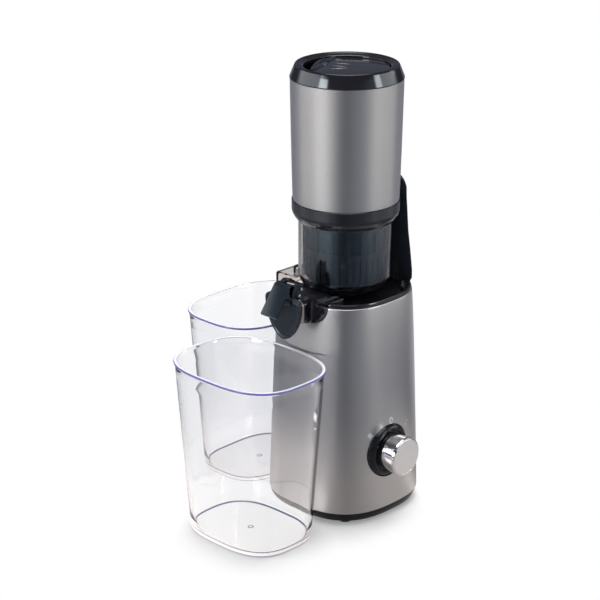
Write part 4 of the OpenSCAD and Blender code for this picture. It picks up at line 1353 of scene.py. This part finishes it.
@dataclass
class Cup:
    """Clear tapered cup with a rolled rim and a small gate mark."""

    name: str
    body: Body
    node: str
    at: Point2
    turned: bool = False
    long: float = 70.5
    short: float = 55.0
    height: float = 172.0
    taper: float = 0.83
    wall: float = 2.0
    power: float = 2.9
    steps: int = 200

    def ring(self, z: float, grow: float) -> list[Point3]:
        """Outline of the cup at height z, grown outwards.

        Args:
            z: height.
            grow: how far it is grown outwards.

        Returns:
            The points, anticlockwise.
        """
        size = self.taper + (1 - self.taper) * z / self.height
        long, short = self.long * size + grow, self.short * size + grow
        outline = Outline.superellipse(long, short, self.power, self.steps)
        return [(x, y, z) for x, y in outline]

    def part(self, face: bpy.types.MeshPolygon) -> CupPart:
        """Part of the cup that a face belongs to, before the cup is placed.

        The rim, the foot, the corner round the floor and the gate mark take the glass's own violet tint,
        deepened by painted shade for the dark lines at the wall's bends; the rim's crest takes a painted
        highlight.

        Args:
            face: a face of the cup's mesh.

        Returns:
            Its part.
        """
        x, y, z = (c / MM for c in face.center)
        across, top = math.hypot(x, y), self.height
        outward = face.normal.x * x + face.normal.y * y > 0
        rim = outward and top - 1.9 < z < top - 0.2
        foot = outward and 0.1 < z < 1.4
        corner = 3.45 < z < 3.65 and not outward and across > 10
        gate = across < 4 and 3.02 < z < 3.4
        if rim or foot or corner or gate:
            return CupPart.EDGE
        return CupPart.CREST if z > top - (0.2 if outward else 0.5) else CupPart.CLEAR

    def build(self) -> None:
        """Makes the cup and places it."""
        top, t = self.height, self.wall
        outside = [(0, -2.6), (0.25, -1.7), (0.8, -0.9), (1.6, -0.4), (2.8, -0.1), (4, 0)]
        outside += [(4 + (top - 8) * i / 12, 0) for i in range(1, 13)]
        outside += [(top - 3.2, 0.3), (top - 2.7, 0.8), (top - 2.1, 1.05), (top - 1.2, 1.1),
                    (top - 0.5, 0.95), (top - 0.12, 0.6), (top, 0.1)]
        inside = [(top, -1.2), (top - 0.15, -1.7), (top - 0.6, -t)]
        inside += [(top - 0.6 - (top - 7) * i / 12, -t) for i in range(1, 12)]
        inside += [(6.4, -t - 0.15), (4.8, -t - 0.6), (3.7, -t - 1.5), (3.4, -t - 1.95), (3.1, -t - 2.8),
                   (3.0, -t - 4.5)]
        cup = Solid.loft("cup", [self.ring(z, grow) for z, grow in outside + inside])
        gate = Solid.revolve("gate", [(1.9, 2.9), (2.2, 3.25), (2.7, 3.25), (3.0, 2.9)], 48)
        piece = Solid.join(self.name, [cup, gate])
        parts = [self.part(face) for face in piece.data.polygons]
        if self.turned:
            Solid.turn(piece, 90)
        Solid.shift(piece, self.at[0], self.at[1], 0)
        fit_out(piece, Palette.CUP, self.body, self.node, sharp=50)
        # Edge faces get the tint with painted shade, the rim's crest a painted highlight
        piece.data.materials.append(Palette.CUP_EDGE_TINT_AND_SHADE.material())
        piece.data.materials.append(Palette.CUP_CREST_HIGHLIGHT.material())
        for face, part in zip(piece.data.polygons, parts):
            face.material_index = part.value


class CadDress:
    """Finishes for the CAD nodes that keep their own shape."""

    FINISHES: dict[Finish, tuple[str, ...]] = {
        Palette.GLOSS: ("top_cover", "feed_tube"),
        Palette.COLUMN_PAINTED_SHEEN: ("rear_column",),
        Palette.BEZEL: ("bottom_cover",),
        Palette.MIRROR: ("flap",),
        Palette.SATIN: ("cord_gland", "interlock_switch", "cooling_fan"),
        Palette.RUBBER: ("feet",),
        Palette.SILICONE: ("drive_seal", "bowl_seal", "pulp_gate", "cap_seal"),
        Palette.STEEL: (
            "base_screws", "gearbox_screws", "layshaft_pin", "motor_shaft", "motor_pinion", "drive_shaft",
            "switch_spindle", "cap_pin", "auger_shaft", "flap_pin", "flap_spring",
        ),
        Palette.CAST: ("motor", "gearbox_housing", "gearbox_cover"),
        Palette.BRONZE: ("output_bearing",),
        Palette.ACETAL: ("compound_gear", "output_gear"),
        Palette.SWITCH: ("rotary_switch",),
        Palette.BOARD: ("control_board",),
        Palette.BASKET: ("strainer_frame", "auger"),
        Palette.MESH: ("strainer_mesh",),
    }
    ROUNDED = {"top_cover": 0.45, "rear_column": 0.3, "bottom_cover": 0.4, "feed_tube": 0.25, "flap": 0.35}
    ROUND_FROM = 35.0
    WELD_REACH = 2e-6

    def dress(self, node: str, finish: Finish) -> None:
        """Welds, rounds and smooths a node through modifiers and gives it its finish.

        Args:
            node: name of the CAD node.
            finish: its finish.
        """
        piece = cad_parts[node]
        weld = piece.modifiers.new("weld", "WELD")
        weld.merge_threshold = self.WELD_REACH
        if node in self.ROUNDED:
            step = piece.modifiers.new("round", "BEVEL")
            step.width, step.segments = self.ROUNDED[node] * MM, 3
            step.limit_method, step.angle_limit = "ANGLE", math.radians(self.ROUND_FROM)
        split = piece.modifiers.new("split", "EDGE_SPLIT")
        split.split_angle = math.radians(Solid.SHARP)
        piece.data.polygons.foreach_set("use_smooth", [True] * len(piece.data.polygons))
        piece.data.materials.clear()
        piece.data.materials.append(finish.material())

    def build(self) -> None:
        """Dresses every node that no new piece stands for."""
        for finish, nodes in self.FINISHES.items():
            for node in nodes:
                self.dress(node, finish)
            log.info("%s: %s", finish.name, ", ".join(nodes))


# ---------------------------------------------------------------- studio


class StudioRing(Effect):
    """Brightness of the studio by direction round the object, for reflections.

    Each ring is a row of (degrees, level): the walls above the floor, the far floor, the floor
    near the object, and the floor at its foot.
    """

    # Horizontal direction towards the viewer's side of the studio, and to its right
    FRONT = (0.702, -0.712)
    RIGHT = (0.712, 0.702)
    PEAK = 15.0
    RINGS = {
        "Upper": (
            (-180, 0.1), (-128, 0.1), (-110, 3.0), (-64, 3.4), (-59, 15), (-46, 15), (-41, 0.2), (-8, 0.08),
            (20, 0.1), (58, 0.6), (64, 11), (72, 11), (77, 3.2), (112, 3.0), (128, 0.1), (180, 0.1),
        ),
        "Lower": (
            (-180, 0.3), (-135, 0.25), (-118, 0.4), (-100, 0.8), (-80, 0.82), (-58, 1.35), (-46, 1.3),
            (-28, 0.6), (-14, 0.16), (-3, 0.08), (12, 0.2), (34, 0.34), (48, 0.6), (60, 0.95), (75, 0.78),
            (100, 0.74), (125, 0.3), (180, 0.25),
        ),
        "Near": (
            (-180, 0.5), (-120, 0.3), (-100, 0.3), (-80, 0.38), (-58, 0.5), (-45, 0.5), (-28, 0.31),
            (-14, 0.17), (0, 0.13), (15, 0.19), (32, 0.25), (50, 0.28), (68, 0.4), (80, 0.33), (88, 0.24),
            (98, 0.2), (107, 0.13), (120, 0.3), (140, 0.6), (180, 0.5),
        ),
        "Foot": (
            (-180, 0.6), (-90, 1.0), (-55, 1.2), (-40, 1.1), (-26, 0.75), (-14, 0.42), (0, 0.3), (15, 0.33),
            (35, 0.44), (50, 0.56), (68, 0.6), (80, 0.66), (90, 1.05), (100, 0.7), (112, 0.4), (180, 0.6),
        ),
    }
    name = "studio_ring"
    inputs = (("Vector", "vector", (0, 0, 0)),)
    outputs = tuple((ring, "value") for ring in RINGS)

    @classmethod
    def ramp(cls, w: Wiring, place: Socket, stops: Sequence[Point2]) -> Socket:
        """Brightness read from stops of (degrees, level).

        Args:
            w: wiring of the group's tree.
            place: angle as a share of the full turn.
            stops: the stops in order.

        Returns:
            The brightness.
        """
        node = w.add("ShaderNodeValToRGB", {0: place})
        ramp = node.color_ramp
        ramp.interpolation = "EASE"
        for i, (angle, level) in enumerate(stops):
            position = (angle + 180) / 360
            stop = ramp.elements[i] if i < 2 else ramp.elements.new(position)
            share = level / cls.PEAK
            stop.position, stop.color = position, (share, share, share, 1)
        value = w.add("ShaderNodeSeparateColor", {0: node.outputs[0]}).outputs[0]
        return w.math("MULTIPLY", value, cls.PEAK)

    @classmethod
    def wire(cls, w: Wiring, given: Outputs, result: Inputs) -> None:
        """Turns the direction to an angle and reads each ring there.

        Args:
            w: wiring of the group's tree.
            given: what the group is given.
            result: what it puts out.
        """
        xyz = w.add("ShaderNodeSeparateXYZ", {0: given["Vector"]}).outputs

        def toward(axis: Point2) -> Socket:
            """Share of the direction along a horizontal axis."""
            return w.math("ADD", w.math("MULTIPLY", xyz[0], axis[0]), w.math("MULTIPLY", xyz[1], axis[1]))
        angle = w.math("ARCTAN2", toward(cls.RIGHT), toward(cls.FRONT))
        place = w.math("ADD", w.math("DIVIDE", angle, 2 * math.pi), 0.5)
        for ring, stops in cls.RINGS.items():
            w.feed(result[ring], cls.ramp(w, place, stops))


@dataclass
class Studio:
    """Camera, world, lamps and a plain pale floor."""

    camera_at: Point3 = (1.1276, -1.2055, 0.8188)
    camera_to: Point3 = (-0.4193, 0.3635, 0.0)
    lens: float = 109.63
    sensor: float = 36.0
    fill: float = 0.75
    dim: float = 0.04
    top_light: float = 5.0
    card_light: float = 2.2
    # Rise of a direction (sine) where the wall panels begin and end and where the ceiling begins
    panel_foot: Point2 = (0.1, 0.22)
    panel_head: Point2 = (0.42, 0.5)
    ceiling: Point2 = (0.84, 0.95)
    # Direction to the small card behind the object (to the right, up) and its half size
    card_at: Point2 = (0.0233, 0.2284)
    card_half: Point2 = (0.0135, 0.0044)
    # Levels between which the dim hue turns to the bright one, and those hues
    wall_turn: Point2 = (0.3, 1.0)
    wall_hues: tuple[tuple[float, ...], ...] = ((0.8, 0.93, 1.2, 1), (1.03, 1, 0.97, 1))
    floor_turn: Point2 = (0.1, 0.7)
    floor_hues: tuple[tuple[float, ...], ...] = ((0.88, 0.95, 1.12, 1), (1.01, 1, 0.99, 1))
    foot_hue: tuple[float, ...] = (1.07, 0.99, 0.94, 1)
    floor_half: float = 12000.0
    floor_tone: float = 0.86
    # Share of white in the floor where things stand, the distance over which it grows to all of
    # it, and its share where the floor is seen through a clear wall
    white_near: float = 0.22
    shadow_reach: Point2 = (0.0, 0.05)
    white_through: float = 0.88
    clear_reach: float = 0.5
    # Distances over which the foot ring turns to the near ring and that to the far floor
    foot_ring: Point2 = (0.2, 0.34)
    near_ring: Point2 = (0.55, 0.95)
    # Middle and half size of what stands on the floor
    footprints: tuple[tuple[Point3, Point3], ...] = (
        ((0, 0, 0), (0.057, 0.057, 0.1)), ((-0.009, -0.12, 0), (0.05, 0.038, 0.1)),
        ((-0.1185, -0.0007, 0), (0.038, 0.05, 0.1)),
    )
    lamps: tuple[tuple[str, Point3, float, float], ...] = (
        ("lamp_overhead", (-0.25, 0.35, 1.7), 1.5, 34.0), ("lamp_left", (-0.9, -1.3, 1.3), 0.9, 9.0),
    )
    lamp_aim: Point3 = (0, 0, 0.1)
    # A clear wall passes a ray on within this many bounces
    wall_bounces: float = 4.5

    @staticmethod
    def aimed(at: Point3, to: Point3) -> Euler:
        """Rotation of a camera or lamp that looks from one point to another."""
        return (Vector(to) - Vector(at)).to_track_quat("-Z", "Y").to_euler()

    def camera(self) -> None:
        """Camera at the product's three-quarter view."""
        data = bpy.data.cameras.new("camera")
        data.lens, data.sensor_width = self.lens, self.sensor
        data.clip_start, data.clip_end = 0.05, 20.0
        piece = bpy.data.objects.new("camera", data)
        piece.location = self.camera_at
        piece.rotation_euler = self.aimed(self.camera_at, self.camera_to)
        bpy.context.scene.collection.objects.link(piece)
        bpy.context.scene.camera = piece

    def mirrored(self, w: Wiring, path: Outputs, close: NodeValue = 1.0) -> Socket:
        """Mask of the rays that a gloss mirrored, without those that a clear wall only turned round inside.

        Args:
            w: wiring of the material.
            path: outputs of its Light Path node.
            close: mask of the places where rays inside a clear wall still find plain white.

        Returns:
            The mask.
        """
        by_gloss = w.math("GREATER_THAN", path["Glossy Depth"], 0.5)
        no_matt = w.math("SUBTRACT", 1.0, path["Is Diffuse Ray"])
        few = w.math("LESS_THAN", path["Ray Depth"], self.wall_bounces)
        short = w.math("MULTIPLY", path["Is Transmission Ray"], few)
        kept = w.math("SUBTRACT", 1.0, w.math("MULTIPLY", short, close))
        return w.math("MULTIPLY", w.math("MULTIPLY", by_gloss, no_matt), kept)

    def card(self, w: Wiring, way: Socket, rise: Socket) -> Socket:
        """Level of the small card by direction.

        Args:
            w: wiring of the world.
            way: the direction.
            rise: its z.

        Returns:
            The level.
        """
        ahead = w.measure("DOT_PRODUCT", way, (*StudioRing.FRONT, 0))
        across = w.measure("DOT_PRODUCT", way, (*StudioRing.RIGHT, 0))
        offs = [w.math("DIVIDE", w.math("ABSOLUTE", w.math("SUBTRACT", place, middle)), half)
                for place, middle, half in zip((across, rise), self.card_at, self.card_half)]
        inside = w.math("LESS_THAN", w.math("ADD", *offs), 1.0)
        behind = w.math("LESS_THAN", ahead, 0.0)
        return w.math("MULTIPLY", inside, w.math("MULTIPLY", behind, self.card_light))

    def world(self) -> None:
        """White towards the camera, panels and a soft fill towards the object."""
        world = bpy.data.worlds.new("studio")
        bpy.context.scene.world = world
        w = Wiring.fresh(world)
        way = w.add("ShaderNodeTexCoord").outputs["Generated"]
        rise = w.add("ShaderNodeSeparateXYZ", {0: way}).outputs[2]
        in_panel = w.math("MULTIPLY", w.fade(rise, self.panel_foot), w.fade(rise, self.panel_head, 1, 0))
        panels = w.math("MULTIPLY", StudioRing.place(w, vector=way).outputs["Upper"], in_panel)
        top = w.fade(rise, self.ceiling, self.dim, self.top_light)
        level = w.math("ADD", w.math("ADD", panels, top), self.card(w, way, rise))
        hue = w.blend(w.fade(level, self.wall_turn), *self.wall_hues)
        shine = w.add("ShaderNodeBackground", {"Color": w.blend(1.0, hue, level, "MULTIPLY")})
        plain = w.add("ShaderNodeBackground", {"Color": (1, 1, 1, 1)})
        soft = w.add("ShaderNodeBackground", {"Color": (1, 1, 1, 1), "Strength": self.fill})
        path = w.add("ShaderNodeLightPath").outputs
        seen = w.math("MAXIMUM", path["Is Camera Ray"], path["Is Transmission Ray"])
        whole = w.mixed(self.mirrored(w, path), w.mixed(seen, soft, plain), shine)
        w.close(whole, "ShaderNodeOutputWorld")

    def gap(self, w: Wiring, place: Socket) -> Socket:
        """Distance on the floor from the nearest thing that stands on it, 1 m at most.

        Args:
            w: wiring of the floor's material.
            place: position on the floor.

        Returns:
            The distance.
        """
        nearest: NodeValue = 1.0
        for centre, half in self.footprints:
            off = w.vector("ABSOLUTE", w.vector("SUBTRACT", place, centre))
            off = w.vector("MAXIMUM", w.vector("SUBTRACT", off, half))
            nearest = w.math("MINIMUM", nearest, w.measure("LENGTH", off))
        return nearest

    def sheen(self, w: Wiring, place: Socket, far: Socket) -> Node:
        """What the floor sends to a gloss: the foot, near and far rings, one after another.

        Args:
            w: wiring of the floor's material.
            place: position on the floor.
            far: its distance from the drive axis.

        Returns:
            The emission shader.
        """
        def joined(share: Socket, first: Socket, second: Socket) -> Socket:
            """First where the share is 1, second where it is 0."""
            rest = w.math("SUBTRACT", 1.0, share)
            return w.math("ADD", w.math("MULTIPLY", first, share), w.math("MULTIPLY", second, rest))
        ring = StudioRing.place(w, vector=place).outputs
        by_foot = w.fade(far, self.foot_ring, 1, 0)
        near = joined(by_foot, ring["Foot"], ring["Near"])
        level = joined(w.fade(far, self.near_ring), ring["Lower"], near)
        hue = w.blend(w.fade(level, self.floor_turn), *self.floor_hues)
        hue = w.blend(by_foot, hue, self.foot_hue)
        return w.add("ShaderNodeEmission", {"Color": w.blend(1.0, hue, level, "MULTIPLY")})

    def floor(self) -> None:
        """Pale floor that keeps the shadows near the object and fades to white."""
        bm = bmesh.new()
        bmesh.ops.create_grid(bm, x_segments=2, y_segments=2, size=self.floor_half)
        piece = Solid.from_bmesh("floor", bm)
        made = bpy.data.materials.new("floor")
        w = Wiring.fresh(made)
        place = w.add("ShaderNodeNewGeometry").outputs["Position"]
        far = w.measure("LENGTH", place)
        matt = w.add("ShaderNodeBsdfDiffuse", {"Color": (*[self.floor_tone] * 3, 1)})
        white = w.add("ShaderNodeEmission", {"Color": (1, 1, 1, 1)})
        path = w.add("ShaderNodeLightPath").outputs
        open_floor = w.fade(self.gap(w, place), self.shadow_reach, self.white_near, 1)
        through = w.math("MULTIPLY", path["Is Transmission Ray"], self.white_through)
        shown = w.mixed(w.math("MAXIMUM", open_floor, through), matt, white)
        mirrored = self.mirrored(w, path, w.math("LESS_THAN", far, self.clear_reach))
        w.close(w.mixed(mirrored, shown, self.sheen(w, place, far)))
        piece.data.materials.append(made)

    def light(self) -> None:
        """Large soft lamps that shape the shadows."""
        for name, at, size, power in self.lamps:
            data = bpy.data.lights.new(name, "AREA")
            data.shape, data.size, data.energy = "DISK", size, power
            lamp = bpy.data.objects.new(name, data)
            lamp.location, lamp.rotation_euler = at, self.aimed(at, self.lamp_aim)
            lamp.visible_glossy = lamp.visible_transmission = False
            bpy.context.scene.collection.objects.link(lamp)

    def build(self) -> None:
        """Makes the whole studio."""
        bpy.context.scene.view_settings.view_transform = "Standard"
        self.camera()
        self.world()
        self.floor()
        self.light()


def main() -> None:
    """Builds the juicer's visual pieces and the studio."""
    logging.basicConfig(level=logging.INFO, format="%(name)s: %(message)s")
    builders: list[Callable[[], None]] = [
        Studio().build,
        Base().build,
        ControlKnob().build,
        Bowl().build,
        SpoutCap().build,
        Hopper().build,
        Cup("juice_cup_clear", Body.JUICE_CUP, "juice_cup", (-9, -120)).build,
        Cup("pulp_cup_clear", Body.PULP_CUP, "pulp_cup", (-118.5, -0.7), turned=True).build,
        CadDress().build,
    ]
    for build in builders:
        build()


if __name__ == "__main__":
    main()
